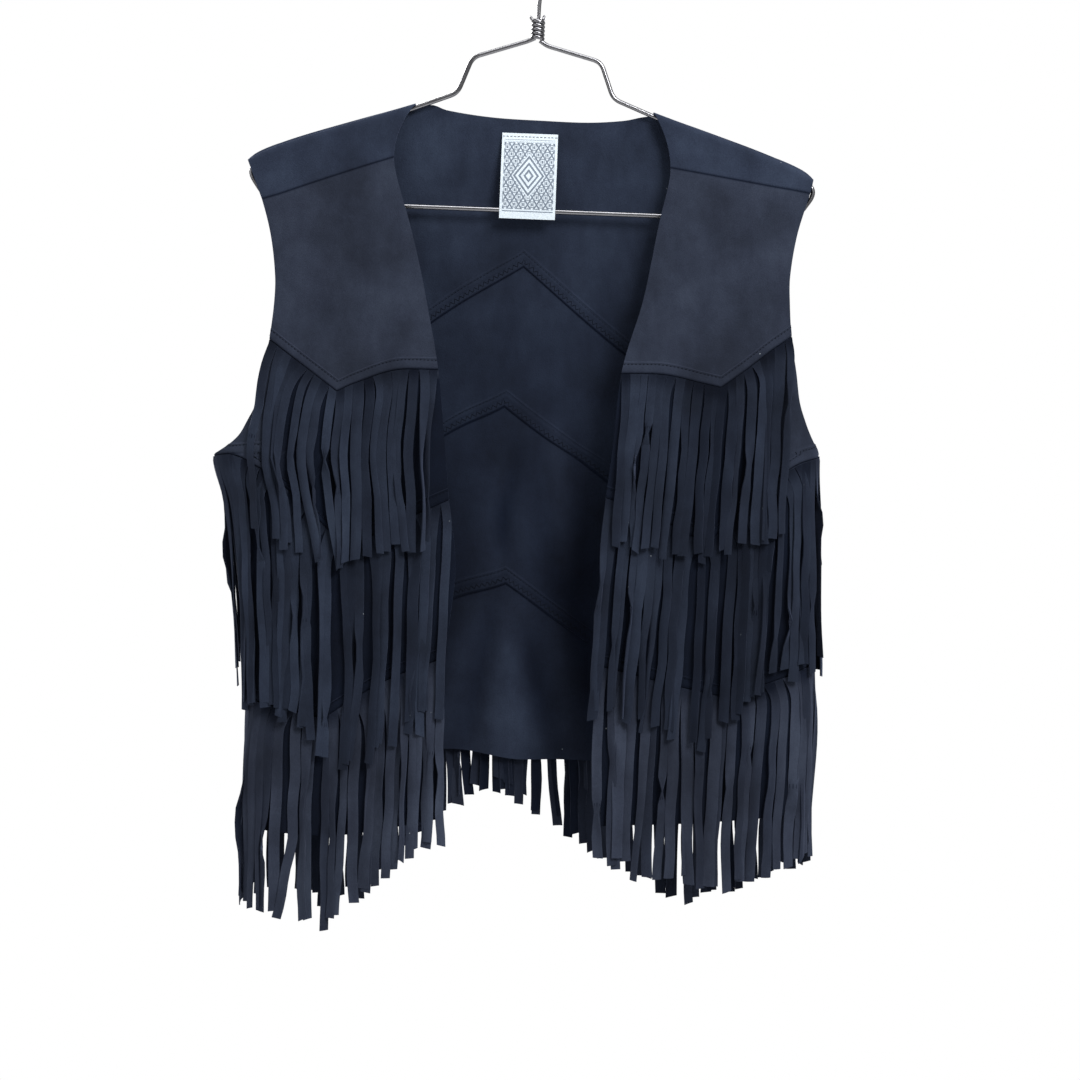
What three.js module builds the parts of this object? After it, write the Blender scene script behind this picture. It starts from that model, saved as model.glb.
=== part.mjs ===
// Open-front vest in thin suede cloth with three tiers of cut fringe, hanging on a notched wire hanger.
// Millimetres, +Z up, +X to the right as the fronts are seen, -Y towards the viewer.
// The origin is the inside top of the hanger's hook, where it bears on a rail.
// A "drop" is a depth below the origin, so z is minus the drop.
import * as THREE from "three";

// Cloth, gaps and wire
const clothThickness = 1.2;
const fringeThickness = 1.0;
const labelThickness = 1;
const seamInset = 0.2;
const restGap = 0.3;
const wireRadius = 1.75;
const hookWireRadius = 1.6;

// The hanger, in its own level frame, and how far it hangs out of level
const hangerTilt = THREE.MathUtils.degToRad(2.2);
const hangerOutline = [
  { x: 0, z: -110, corner: 5 },
  { x: 49.5, z: -123, corner: 6 },
  { x: 60, z: -151, corner: 6 },
  { x: 221, z: -213.8, corner: 13 },
  { x: 203, z: -239.6, corner: 12 },
];
const shoulderInner = hangerOutline[2];
const shoulderOuter = hangerOutline[3];
const barDrop = 239.6;
const hookRadius = 21.6;
const collarTop = -90;
const collarBottom = -108.4;
const collarTurns = 5;
const collarRadius = { groove: 4.4, turn: 5.4 };
const hookAngle = { start: -52, end: 208 };

// Where the cloth leaves the wire at the neck, and the ends of the shoulders
const neckPoint = { left: -98, right: 85 };
const shoulderTip = { left: -227, right: 208 };
const centreLine = -11;
const restHeight = wireRadius + restGap + clothThickness / 2;
const foldRadius = 5;
const chestDepthRun = 220;
const sideRound = 38;
const sideArc = 50;

const shoulderRise = [
  { share: 0, rise: 0 },
  { share: 0.35, rise: 2.4 },
  { share: 0.75, rise: 4.6 },
  { share: 0.92, rise: 4 },
  { share: 1, rise: 1.6 },
];
const neckSag = [
  { share: 0, sag: 1.5 },
  { share: 0.07, sag: -0.6 },
  { share: 0.13, sag: 3 },
  { share: 0.32, sag: 7.2 },
  { share: 0.54, sag: 8.4 },
  { share: 0.73, sag: 8.5 },
  { share: 0.88, sag: 6 },
  { share: 0.95, sag: 3 },
  { share: 1, sag: 1.5 },
];
const neckSetBack = { rise: 5, run: 12 };

// Level sections of the body: half widths to each side of the centre line, and depths of front and back
const bodySections = [
  { drop: 150, left: 228, right: 228, front: 8, back: 8 },
  { drop: 240, left: 229, right: 227, front: 15, back: 13 },
  { drop: 330, left: 231, right: 224, front: 21, back: 18 },
  { drop: 427, left: 241, right: 222, front: 25, back: 22 },
  { drop: 465, left: 231, right: 220, front: 26, back: 24 },
  { drop: 540, left: 222, right: 219, front: 28, back: 26 },
  { drop: 620, left: 216, right: 217, front: 30, back: 28 },
  { drop: 720, left: 216, right: 211, front: 32, back: 30 },
];

// Free edge of each front, from the neck to the hem
const frontEdge = [
  { drop: 157, left: -99, right: 83 },
  { drop: 182, left: -112.4, right: 92.5 },
  { drop: 199, left: -114.5, right: 97 },
  { drop: 214, left: -112.2, right: 97.5 },
  { drop: 248, left: -102.7, right: 89.5 },
  { drop: 280, left: -94.9, right: 83 },
  { drop: 312, left: -88.6, right: 76 },
  { drop: 363, left: -79.9, right: 60.4 },
  { drop: 424, left: -74.5, right: 53 },
  { drop: 462, left: -71.6, right: 47.7 },
  { drop: 512, left: -66.5, right: 43.9 },
  { drop: 554, left: -71, right: 41.5 },
  { drop: 585, left: -75.5, right: 42.5 },
  { drop: 630, left: -77.5, right: 43 },
  { drop: 716, left: -79, right: 43.9 },
];

// Edge of each armhole, from the shoulder tip to the armpit
const armholeEdge = [
  { drop: 198, left: -227, right: 208 },
  { drop: 218, left: -221.5, right: 207.9 },
  { drop: 231, left: -215.8, right: 203.8 },
  { drop: 259, left: -208.7, right: 195 },
  { drop: 291, left: -205, right: 189.2 },
  { drop: 312, left: -205.6, right: 188.8 },
  { drop: 340, left: -208.7, right: 190 },
  { drop: 366, left: -211.8, right: 193.5 },
  { drop: 388, left: -218.4, right: 196 },
  { drop: 403, left: -226.1, right: 200.5 },
  { drop: 413, left: -232.2, right: 204.5 },
  { drop: 422, left: -243, right: 209 },
  { drop: 427, left: -251.9, right: 210.9 },
];

// Seams of a front. Column 0 is the free edge and the last column the armhole or side seam.
// Share is the part of the way across, and left and right are the drops on each front.
const frontColumns = 12;
const frontSeams = {
  shoulder: [
    { column: 0, share: 0, left: 198.7, right: 207.1 },
    { column: 5, share: 0.54, left: 216.2, right: 217.7 },
    { column: 12, share: 1, left: 231, right: 226.6 },
  ],
  yoke: [
    { column: 0, share: 0, left: 362.7, right: 365.8 },
    { column: 2, share: 0.25, left: 363.1, right: 366.8 },
    { column: 4, share: 0.48, left: 373, right: 373.5 },
    { column: 5, share: 0.58, left: 379.2, right: 376.5 },
    { column: 12, share: 1, left: 339.6, right: 337.3 },
  ],
  chest: [
    { column: 0, share: 0, left: 462, right: 460.5 },
    { column: 2, share: 0.18, left: 476, right: 471 },
    { column: 5, share: 0.452, left: 499, right: 496 },
    { column: 10, share: 0.8, left: 430.5, right: 437 },
    { column: 12, share: 1, left: 427.8, right: 427.8 },
  ],
  waist: [
    { column: 0, share: 0, left: 582, right: 588.3 },
    { column: 2, share: 0.26, left: 599, right: 600 },
    { column: 5, share: 0.56, left: 628.3, right: 613 },
    { column: 12, share: 1, left: 609, right: 582 },
  ],
  hem: [
    { column: 0, share: 0, left: 704.6, right: 710 },
    { column: 5, share: 0.5, left: 717, right: 707 },
    { column: 12, share: 1, left: 710, right: 700 },
  ],
};

// Seams of the back. Column 0 is the peak near the middle and the last column the armhole or side seam.
// Peaks is how far each peak stands left of the centre line.
const backColumns = 14;
const valleyColumn = { front: 5, back: 8 };
const neckColumn = 6;
const backPeaks = { yoke: 4, chest: 19, waist: 18, hem: 10 };
const backSeams = {
  yoke: [
    { column: 0, share: 0, left: 281, right: 281 },
    { column: 5, share: 0.36, left: 322, right: 344 },
    { column: 8, share: 0.66, left: 369.6, right: 388.9 },
    { column: 14, share: 1, left: 337.3, right: 337.3 },
  ],
  chest: [
    { column: 0, share: 0, left: 388.9, right: 388.9 },
    { column: 5, share: 0.3, left: 422, right: 444 },
    { column: 8, share: 0.56, left: 490, right: 499 },
    { column: 12, share: 0.85, left: 433, right: 437 },
    { column: 14, share: 1, left: 427.8, right: 427.8 },
  ],
  waist: [
    { column: 0, share: 0, left: 526.4, right: 526.4 },
    { column: 5, share: 0.3, left: 552, right: 580 },
    { column: 8, share: 0.6, left: 620, right: 622 },
    { column: 14, share: 1, left: 609, right: 582 },
  ],
  hem: [
    { column: 0, share: 0, left: 663.5, right: 663.5 },
    { column: 5, share: 0.3, left: 656, right: 667 },
    { column: 8, share: 0.6, left: 674, right: 685 },
    { column: 14, share: 1, left: 710, right: 700 },
  ],
};

// Soft upright folds: place, half width and depth, positive towards the wearer's back, and where each starts
const backFolds = [
  { x: -32, width: 26, depth: -5, from: 388 },
  { x: 24, width: 28, depth: 4, from: 400 },
  { x: -92, width: 30, depth: 4, from: 430 },
  { x: 110, width: 30, depth: -3, from: 460 },
];
const frontFolds = [
  { x: -120, width: 26, depth: -2, from: 250 },
  { x: -180, width: 26, depth: 1.6, from: 420 },
  { x: 98, width: 26, depth: -2, from: 250 },
  { x: 155, width: 26, depth: 1.6, from: 420 },
];
const foldRun = 160;

// Fringe: cut length of each tier, how far its ends hang off the cloth, and how far they stray to the left
const stripHeight = 6;
const stripGap = 0.6;
const stripDrop = 0.6;
const strandPitch = 9.35;
const strandShare = 0.78;
const fringeTiers = {
  yoke: { length: 135, endOff: 5.6, stray: 10 },
  chest: { length: 163, endOff: 5.4, stray: 12 },
  waist: { length: 154, endOff: 3.2, stray: 4 },
};

// The turned edge, stitched flat above each yoke seam
const turnedEdge = { width: 9, rise: 0.9 };
const yokeHeight = 150;

// The panels under the yokes, front and back: the seams they lie between and their rows
const lowerPanels = [
  { name: "chest", upper: "yoke", lower: "chest", rows: 5 },
  { name: "waist", upper: "chest", lower: "waist", rows: 5 },
  { name: "skirt", upper: "waist", lower: "hem", rows: 4 },
];

const labelSize = { width: 43, length: 66.6, x: -9.8, drop: 179.3 };
const labelBendShare = 0.85;

const finishes = {
  suede: { name: "suede_cloth", color: 0x2a2f3d, roughness: 0.95, metalness: 0 },
  label: { name: "label_cloth", color: 0xb9cbd6, roughness: 0.8, metalness: 0 },
  wire: { name: "bright_wire", color: 0xc8c8c8, roughness: 0.2, metalness: 1 },
};

const mix = THREE.MathUtils.lerp;
const clamp = THREE.MathUtils.clamp;
const signOf = { left: -1, right: 1 };

// One column of a table at a place, on straight lines between its rows.
function readStraight(table, key, at, column) {
  if (at <= table[0][key]) return table[0][column];
  for (let i = 1; i < table.length; i++) {
    const before = table[i - 1];
    const after = table[i];
    if (at <= after[key]) {
      const share = (at - before[key]) / (after[key] - before[key]);
      return mix(before[column], after[column], share);
    }
  }
  return table[table.length - 1][column];
}

// The same on a smooth curve through the rows.
function readCurved(table, key, at, column) {
  const last = table.length - 1;
  const place = clamp(at, table[0][key], table[last][key]);
  let i = 0;
  while (i < last - 1 && table[i + 1][key] < place) i++;
  const rows = [table[Math.max(i - 1, 0)], table[i], table[i + 1], table[Math.min(i + 2, last)]];
  const span = rows[2][key] - rows[1][key];
  const slope = (a, b) => (span * (b[column] - a[column])) / (b[key] - a[key]);
  const t = (place - rows[1][key]) / span;
  const rise = rows[2][column] - rows[1][column];
  const start = slope(rows[0], rows[2]);
  const end = slope(rows[1], rows[3]);
  return rows[1][column] + t * (start + t * (3 * rise - 2 * start - end + t * (start + end - 2 * rise)));
}

// A point of the hanger's own frame, as it hangs.
function onHanger(x, z) {
  return {
    x: x * Math.cos(hangerTilt) + z * Math.sin(hangerTilt),
    z: z * Math.cos(hangerTilt) - x * Math.sin(hangerTilt),
  };
}

// Drop of the cloth's top fold over one shoulder of the wire.
function shoulderFoldDrop(side, x) {
  const inner = onHanger(signOf[side] * shoulderInner.x, shoulderInner.z);
  const outer = onHanger(signOf[side] * shoulderOuter.x, shoulderOuter.z);
  const wireZ = mix(inner.z, outer.z, (x - inner.x) / (outer.x - inner.x));
  const share = clamp((x - neckPoint[side]) / (shoulderTip[side] - neckPoint[side]), 0, 1);
  return -wireZ - restHeight - readCurved(shoulderRise, "share", share, "rise");
}

const neckDrop = {
  left: shoulderFoldDrop("left", neckPoint.left),
  right: shoulderFoldDrop("right", neckPoint.right),
};

// Part of the way across the neck, and the drop there of the line that joins the neck points.
function acrossNeck(x) {
  const share = (x - neckPoint.left) / (neckPoint.right - neckPoint.left);
  return { share, drop: mix(neckDrop.left, neckDrop.right, share) };
}

// Drop of the top fold anywhere across the garment. Between the neck points no cloth lies over the wire,
// and the line there stands above the cloth, so that all of it is behind the wire.
function foldDrop(x) {
  if (x <= neckPoint.left) return shoulderFoldDrop("left", x);
  if (x >= neckPoint.right) return shoulderFoldDrop("right", x);
  const inside = Math.min(x - neckPoint.left, neckPoint.right - x);
  return acrossNeck(x).drop - neckSetBack.rise * Math.min(1, inside / neckSetBack.run);
}

// Place across the body for a girth, the distance along the cloth from the centre line, at a drop.
// Corner is 1 on the flat of the front or back and falls to 0 at the side.
function acrossBody(side, girth, drop) {
  const flat = readCurved(bodySections, "drop", drop, side) - sideRound;
  const turn = (clamp((girth - flat) / sideArc, 0, 1) * Math.PI) / 2;
  const reach = girth < flat ? girth : flat + sideRound * Math.sin(turn);
  return { x: centreLine + signOf[side] * reach, corner: Math.cos(turn) };
}

// The girth at which the body has a given x.
function girthAt(side, x, drop) {
  const flat = readCurved(bodySections, "drop", drop, side) - sideRound;
  const reach = signOf[side] * (x - centreLine);
  if (reach < flat) return reach;
  return flat + (sideArc * Math.asin(Math.min(1, (reach - flat) / sideRound))) / (Math.PI / 2);
}

function sideSeamGirth(side, drop) {
  return readCurved(bodySections, "drop", drop, side) - sideRound + sideArc;
}

// Half depth of the hanging cloth: round over the wire, then easing out to the depth of the body's section.
function hangDepth(x, drop, sectionDepth) {
  const below = Math.max(0, drop - foldDrop(x));
  if (below < foldRadius) return Math.sqrt(foldRadius ** 2 - (foldRadius - below) ** 2);
  const run = Math.min(1, (below - foldRadius) / chestDepthRun);
  return foldRadius + (sectionDepth - foldRadius) * run * (2 - run);
}

function foldOffset(folds, x, drop) {
  let offset = 0;
  for (const fold of folds) {
    const run = THREE.MathUtils.smoothstep(drop, fold.from, fold.from + foldRun);
    offset += fold.depth * run * Math.exp(-(((x - fold.x) / fold.width) ** 2));
  }
  return offset;
}

// Middle of the front's cloth.
function frontPoint(side, girth, drop) {
  const { x, corner } = acrossBody(side, girth, drop);
  const depth = hangDepth(x, drop, readCurved(bodySections, "drop", drop, "front"));
  return new THREE.Vector3(x, corner * (foldOffset(frontFolds, x, drop) - depth), -drop);
}

// Middle of the back's cloth. A negative girth is on the left.
function backPoint(girth, drop) {
  const side = girth < 0 ? "left" : "right";
  const { x, corner } = acrossBody(side, Math.abs(girth), drop);
  const depth = hangDepth(x, drop, readCurved(bodySections, "drop", drop, "back"));
  return new THREE.Vector3(x, corner * (depth + foldOffset(backFolds, x, drop)), -drop);
}

// A point of the cloth with the way out of it there, found from two short steps along the cloth.
function onCloth(surface, girth, drop, turn) {
  const step = 0.5;
  const across = surface(girth + step, drop).sub(surface(girth - step, drop));
  const down = surface(girth, drop + step).sub(surface(girth, drop - step));
  return { at: surface(girth, drop), out: across.cross(down).normalize().multiplyScalar(turn) };
}

function onFront(side, girth, drop) {
  return onCloth((g, d) => frontPoint(side, g, d), girth, drop, side === "left" ? 1 : -1);
}

function onBack(girth, drop) {
  return onCloth(backPoint, girth, drop, 1);
}

// A sheet is its points and its quads, whose corners run anticlockwise as seen from outside.
// A point has a place and may have its own way out of the cloth.
function gridSheet(columns, rows, pointAt) {
  const points = [];
  const quads = [];
  const wide = columns + 1;
  for (let row = 0; row <= rows; row++) {
    for (let column = 0; column <= columns; column++) points.push(pointAt(column, row));
  }
  for (let row = 0; row < rows; row++) {
    for (let column = 0; column < columns; column++) {
      const corner = row * wide + column;
      quads.push([corner, corner + 1, corner + wide + 1, corner + wide]);
    }
  }
  return { points, quads };
}

// Turns a sheet into a closed wall. Rise gives how far a point's outer face stands proud.
function wallOf(sheet, thickness, { turned = false, rise = () => 0 } = {}) {
  const quads = turned ? sheet.quads.map((quad) => [...quad].reverse()) : sheet.quads;
  const normals = sheet.points.map(() => new THREE.Vector3());
  for (const [a, b, c, d] of quads) {
    const across = sheet.points[c].at.clone().sub(sheet.points[a].at);
    const facing = across.cross(sheet.points[d].at.clone().sub(sheet.points[b].at));
    for (const corner of [a, b, c, d]) normals[corner].add(facing);
  }
  const positions = [];
  const count = sheet.points.length;
  for (const [face, way] of [["outer", 1], ["inner", -1]]) {
    sheet.points.forEach((point, i) => {
      const proud = face === "outer" ? rise(i) : 0;
      const out = point.out ?? normals[i].normalize();
      const moved = point.at.clone().addScaledVector(out, way * (thickness / 2 + proud));
      positions.push(moved.x, moved.y, moved.z);
    });
  }
  const index = [];
  const edges = new Set();
  for (const [a, b, c, d] of quads) {
    index.push(a, b, c, a, c, d);
    index.push(count + a, count + c, count + b, count + a, count + d, count + c);
    for (const [from, to] of [[a, b], [b, c], [c, d], [d, a]]) edges.add(`${from} ${to}`);
  }
  for (const edge of edges) {
    const [from, to] = edge.split(" ").map(Number);
    if (edges.has(`${to} ${from}`)) continue;
    index.push(to, from, count + from, to, count + from, count + to);
  }
  const geometry = new THREE.BufferGeometry();
  geometry.setAttribute("position", new THREE.Float32BufferAttribute(positions, 3));
  geometry.setIndex(index);
  geometry.computeVertexNormals();
  return geometry;
}

// Where a front's seam runs at a column: its share of the way across and its drop.
function frontSeamAt(seam, side, column) {
  return {
    share: readStraight(frontSeams[seam], "column", column, "share"),
    drop: readStraight(frontSeams[seam], "column", column, side),
  };
}

// Girth of the outer edge of the cloth at a drop: the armhole, and the side seam below the armpit.
function outerGirth(side, drop) {
  const armpit = armholeEdge[armholeEdge.length - 1].drop;
  if (drop >= armpit) return sideSeamGirth(side, drop) - seamInset;
  return Math.min(
    girthAt(side, readCurved(armholeEdge, "drop", drop, side), drop),
    sideSeamGirth(side, drop) - seamInset,
  );
}

function frontGirth(side, share, drop) {
  const inner = girthAt(side, readCurved(frontEdge, "drop", drop, side), drop);
  return mix(inner, outerGirth(side, drop), share);
}

// One panel of a front, between two seams. RowShares says where its rows lie between them.
function frontPanel(side, upper, lower, rowShares) {
  return gridSheet(frontColumns, rowShares.length - 1, (column, row) => {
    const top = frontSeamAt(upper, side, column);
    const bottom = frontSeamAt(lower, side, column);
    const drop = mix(top.drop + seamInset, bottom.drop - seamInset, rowShares[row]);
    const share = mix(top.share, bottom.share, rowShares[row]);
    return onFront(side, frontGirth(side, share, drop), drop);
  });
}

const evenRows = (count) => Array.from({ length: count + 1 }, (_, row) => row / count);

// Rows of a panel that ends in the turned edge: even rows, then one at its stitching and one just below it.
function rowsToTurnedEdge(count, panelHeight) {
  const stitching = 1 - turnedEdge.width / panelHeight;
  return [...evenRows(count).map((share) => share * stitching), stitching + 0.01, 1];
}

// Raises the last two rows of a grid, which are the turned edge.
function turnedEdgeRise(columns, rows) {
  const firstRaised = (rows - 1) * (columns + 1);
  return (i) => (i >= firstRaised ? turnedEdge.rise : 0);
}

// Where a seam of the back runs at a column counted from its peak, and the girth there.
function backSeamAt(seam, side, column) {
  return {
    share: readStraight(backSeams[seam], "column", column, "share"),
    drop: readStraight(backSeams[seam], "column", column, side),
    peak: backPeaks[seam],
  };
}

function backGirth(side, share, peak, drop) {
  return mix(-peak, signOf[side] * outerGirth(side, drop), share);
}

// Splits a column counted from the left edge into the half it is in and its count from the peak.
function backHalf(column) {
  const side = column < backColumns ? "left" : "right";
  return { side, column: Math.abs(column - backColumns) };
}

function backPanel(upper, lower, rows) {
  return gridSheet(2 * backColumns, rows, (column, row) => {
    const half = backHalf(column);
    const top = backSeamAt(upper, half.side, half.column);
    const bottom = backSeamAt(lower, half.side, half.column);
    const at = row / rows;
    const drop = mix(top.drop + seamInset, bottom.drop - seamInset, at);
    const share = mix(top.share, bottom.share, at);
    const peak = mix(top.peak, bottom.peak, at);
    return onBack(backGirth(half.side, share, peak, drop), drop);
  });
}

// The back yoke runs from its seam up over the wire and down to the shoulder seams on the fronts.
// Rows count down the back from the fold over the wire, and down the fronts as negative rows.
function backYoke() {
  const capDrops = [0, foldRadius * (1 - Math.SQRT1_2), foldRadius];
  const neckDrops = [0, 0, foldRadius];
  const backRows = 7;
  const flapRows = 5;
  const across = (column) => (column - neckColumn) / (backColumns - neckColumn);
  const topX = (side, column) =>
    column < neckColumn
      ? mix(centreLine, neckPoint[side], column / neckColumn)
      : mix(neckPoint[side], shoulderTip[side], across(column));
  const rowDrop = (row, rows, top, cap, bottom) => {
    const capRows = capDrops.length - 1;
    if (row <= capRows) return top + cap[row];
    return mix(top + cap[capRows], bottom, (row - capRows) / (rows - capRows));
  };
  const backRowPoint = (side, column, row) => {
    const x = topX(side, column);
    const neck = acrossNeck(x);
    const inNeck = column < neckColumn;
    const top = inNeck ? neck.drop + readCurved(neckSag, "share", neck.share, "sag") : foldDrop(x);
    const bottom = backSeamAt("yoke", side, column);
    const drop = rowDrop(row, backRows, top, inNeck ? neckDrops : capDrops, bottom.drop - seamInset);
    const share = clamp((drop - top - foldRadius) / (bottom.drop - seamInset - top - foldRadius), 0, 1);
    const lowerGirth = backGirth(side, bottom.share, bottom.peak, drop);
    const follow = inNeck ? share : mix(share, 1, across(column) ** 2);
    const girth = mix(signOf[side] * girthAt(side, x, drop), lowerGirth, follow);
    return row < backRows ? { at: backPoint(girth, drop) } : onBack(girth, drop);
  };
  const flapPoint = (side, column, row) => {
    const x = topX(side, column);
    const share = across(column);
    const top = foldDrop(x);
    const seam = mix(frontSeams.shoulder[0][side], frontSeams.shoulder[2][side], share) - seamInset;
    const drop = rowDrop(row, flapRows, top, capDrops, seam);
    const along = (drop - top) / (seam - top);
    const seamX = acrossBody(side, frontGirth(side, share, seam), seam).x;
    const bowed = mix(along * (2 - along), along, share);
    const girth = girthAt(side, mix(x, seamX, bowed), drop);
    return row < flapRows ? { at: frontPoint(side, girth, drop) } : onFront(side, girth, drop);
  };
  const points = [];
  const quads = [];
  const places = new Map();
  const wide = 2 * backColumns;
  for (let row = -flapRows; row <= backRows; row++) {
    for (let column = 0; column <= wide; column++) {
      const half = backHalf(column);
      if (row < 1 && half.column < neckColumn) continue;
      const pointAt = row < 0 ? flapPoint : backRowPoint;
      places.set(`${row} ${column}`, points.length);
      points.push(pointAt(half.side, half.column, Math.abs(row)));
    }
  }
  for (let row = -flapRows; row < backRows; row++) {
    for (let column = 0; column < wide; column++) {
      const corners = [[row, column], [row, column + 1], [row + 1, column + 1], [row + 1, column]];
      const quad = corners.map((corner) => places.get(corner.join(" ")));
      if (quad.every((place) => place !== undefined)) quads.push(quad);
    }
  }
  return { points, quads };
}

// A row of cut strands under one seam: a narrow strip along it, and a strand hanging from each of its cells.
// Cells holds the girth and drop of the seam at both sides of each cell, and cloth gives what they lie on.
function fringe({ cloth, cells, endGirth, tier }) {
  const points = [];
  const quads = [];
  const base = clothThickness / 2 + stripGap + fringeThickness / 2;
  const off = (girth, drop, extra) => {
    const { at, out } = cloth(girth, drop);
    return { at: at.addScaledVector(out, base + extra), out };
  };
  cells.forEach((sides, cell) => {
    const first = points.length;
    const endDrop = (sides[0].drop + sides[1].drop) / 2 + tier.length;
    for (const { girth, drop } of sides) points.push(off(girth, drop + stripDrop, 0));
    for (const root of sides) {
      const drop = root.drop + stripHeight;
      points.push(off(endGirth(root, drop), drop, 0));
    }
    for (const root of sides) points.push(off(endGirth(root, endDrop), endDrop, tier.endOff));
    quads.push([first, first + 1, first + 3, first + 2], [first + 2, first + 3, first + 5, first + 4]);
    if (cell) {
      const before = first - 6;
      quads.push([before + 1, first, first + 2, before + 3]);
    }
  });
  return { points, quads };
}

// Strands keep to the same part of the girth as their root, and stray to the left,
// less so near the side seam.
function hangingGirth(side, root, drop, tier) {
  const share = root.girth / sideSeamGirth(side, root.drop);
  const stray = (tier.stray * (drop - root.drop) * (1 - share ** 4)) / tier.length;
  return share * sideSeamGirth(side, drop) - signOf[side] * stray;
}

// Cells of even width along a seam between two of its columns, so that no strand
// crosses a valley or a peak.
function seamCells(seamAt, fromColumn, toColumn) {
  const samples = 120;
  const table = Array.from({ length: samples + 1 }, (_, i) => seamAt(mix(fromColumn, toColumn, i / samples)));
  const start = table[0].girth;
  const reach = table[samples].girth - start;
  table.forEach((row) => (row.along = (row.girth - start) / reach));
  const count = Math.round(reach / strandPitch);
  return Array.from({ length: count }, (_, cell) =>
    [-strandShare / 2, strandShare / 2].map((way) => {
      const along = (cell + 0.5 + way) / count;
      return { girth: start + along * reach, drop: readStraight(table, "along", along, "drop") };
    }),
  );
}

function frontFringe(side, seam) {
  const seamAt = (column) => {
    const { share, drop } = frontSeamAt(seam, side, column);
    return { girth: frontGirth(side, share, drop), drop };
  };
  const cells = [
    ...seamCells(seamAt, 0, valleyColumn.front),
    ...seamCells(seamAt, valleyColumn.front, frontColumns),
  ];
  const tier = fringeTiers[seam];
  const cloth = (girth, drop) => onFront(side, girth, drop);
  const endGirth = (root, drop) => hangingGirth(side, root, drop, tier);
  return fringe({ cloth, cells, endGirth, tier });
}

function backFringe(seam) {
  const seamAt = (column) => {
    const half = backHalf(column);
    const { share, drop, peak } = backSeamAt(seam, half.side, half.column);
    return { girth: backGirth(half.side, share, peak, drop), drop };
  };
  const valley = valleyColumn.back;
  const turns = [0, backColumns - valley, backColumns, backColumns + valley, 2 * backColumns];
  const cells = turns.slice(1).flatMap((turn, i) => seamCells(seamAt, turns[i], turn));
  const tier = { ...fringeTiers[seam], stray: 0 };
  const endGirth = (root, drop) => {
    const side = root.girth < 0 ? "left" : "right";
    return signOf[side] * hangingGirth(side, { girth: Math.abs(root.girth), drop: root.drop }, drop, tier);
  };
  return fringe({ cloth: onBack, cells, endGirth, tier });
}

// The label hangs from the back's neck and lies over the front of the hanger's bar.
function neckLabel() {
  const columns = 2;
  const rows = 6;
  const behind = backPoint(labelSize.x - centreLine, labelSize.drop).y;
  const topY = behind - clothThickness / 2 - restGap - labelThickness / 2;
  const barY = -wireRadius - restGap - labelThickness / 2;
  const barDropHere = -onHanger(labelSize.x, -barDrop).z;
  const barShare = (barDropHere - labelSize.drop) / labelSize.length;
  return gridSheet(columns, rows, (column, row) => {
    const across = (0.5 - column / columns) * labelSize.width;
    const along = row / rows;
    const bend = Math.sin((Math.PI / 2) * Math.min(1, along / (labelBendShare * barShare)));
    const turnedX = across * Math.cos(hangerTilt) - along * labelSize.length * Math.sin(hangerTilt);
    const turnedZ = -along * labelSize.length * Math.cos(hangerTilt) - across * Math.sin(hangerTilt);
    return { at: new THREE.Vector3(labelSize.x + turnedX, mix(topY, barY, bend), turnedZ - labelSize.drop) };
  });
}

// A round wire along points in one plane, as rings of sides joined one to the next.
function wireAlong(path, radius, sides, closed) {
  const positions = [];
  const index = [];
  const count = path.length;
  const at = (i) => path[closed ? (i + count) % count : clamp(i, 0, count - 1)];
  path.forEach((point, i) => {
    const along = at(i + 1).clone().sub(at(i - 1)).normalize();
    const inPlane = new THREE.Vector3(along.z, 0, -along.x);
    const turned = at(i).clone().sub(at(i - 1)).normalize().dot(along);
    const mitre = closed || (i && i < count - 1) ? 1 / Math.max(turned, 0.8) : 1;
    for (let side = 0; side < sides; side++) {
      const angle = (2 * Math.PI * side) / sides;
      const ring = point.clone().addScaledVector(inPlane, radius * mitre * Math.cos(angle));
      positions.push(ring.x, ring.y + radius * Math.sin(angle), ring.z);
    }
  });
  for (let i = 0; i < (closed ? count : count - 1); i++) {
    for (let side = 0; side < sides; side++) {
      const a = i * sides + side;
      const b = i * sides + ((side + 1) % sides);
      const c = ((i + 1) % count) * sides + ((side + 1) % sides);
      const d = ((i + 1) % count) * sides + side;
      index.push(a, b, c, a, c, d);
    }
  }
  if (!closed) {
    for (let side = 1; side < sides - 1; side++) {
      const last = (count - 1) * sides;
      index.push(0, side + 1, side, last, last + side, last + side + 1);
    }
  }
  const geometry = new THREE.BufferGeometry();
  geometry.setAttribute("position", new THREE.Float32BufferAttribute(positions, 3));
  geometry.setIndex(index);
  geometry.computeVertexNormals();
  return geometry;
}

// Corners of a polygon rounded with short curves, each corner's size its own.
function roundedLoop(corners, stepsPerCorner) {
  const path = [];
  corners.forEach((corner, i) => {
    const here = new THREE.Vector3(corner.x, 0, corner.z);
    const ends = [-1, 1].map((way) => {
      const next = corners[(i + way + corners.length) % corners.length];
      const towards = new THREE.Vector3(next.x, 0, next.z).sub(here).normalize();
      return here.clone().addScaledVector(towards, corner.corner);
    });
    const bend = new THREE.QuadraticBezierCurve3(ends[0], here, ends[1]);
    path.push(...bend.getPoints(stepsPerCorner));
  });
  return path;
}

function hangerFrame() {
  const right = hangerOutline.slice(1);
  const left = right.map((corner) => ({ ...corner, x: -corner.x })).reverse();
  return wireAlong(roundedLoop([hangerOutline[0], ...right, ...left], 4), wireRadius, 8, true);
}

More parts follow.
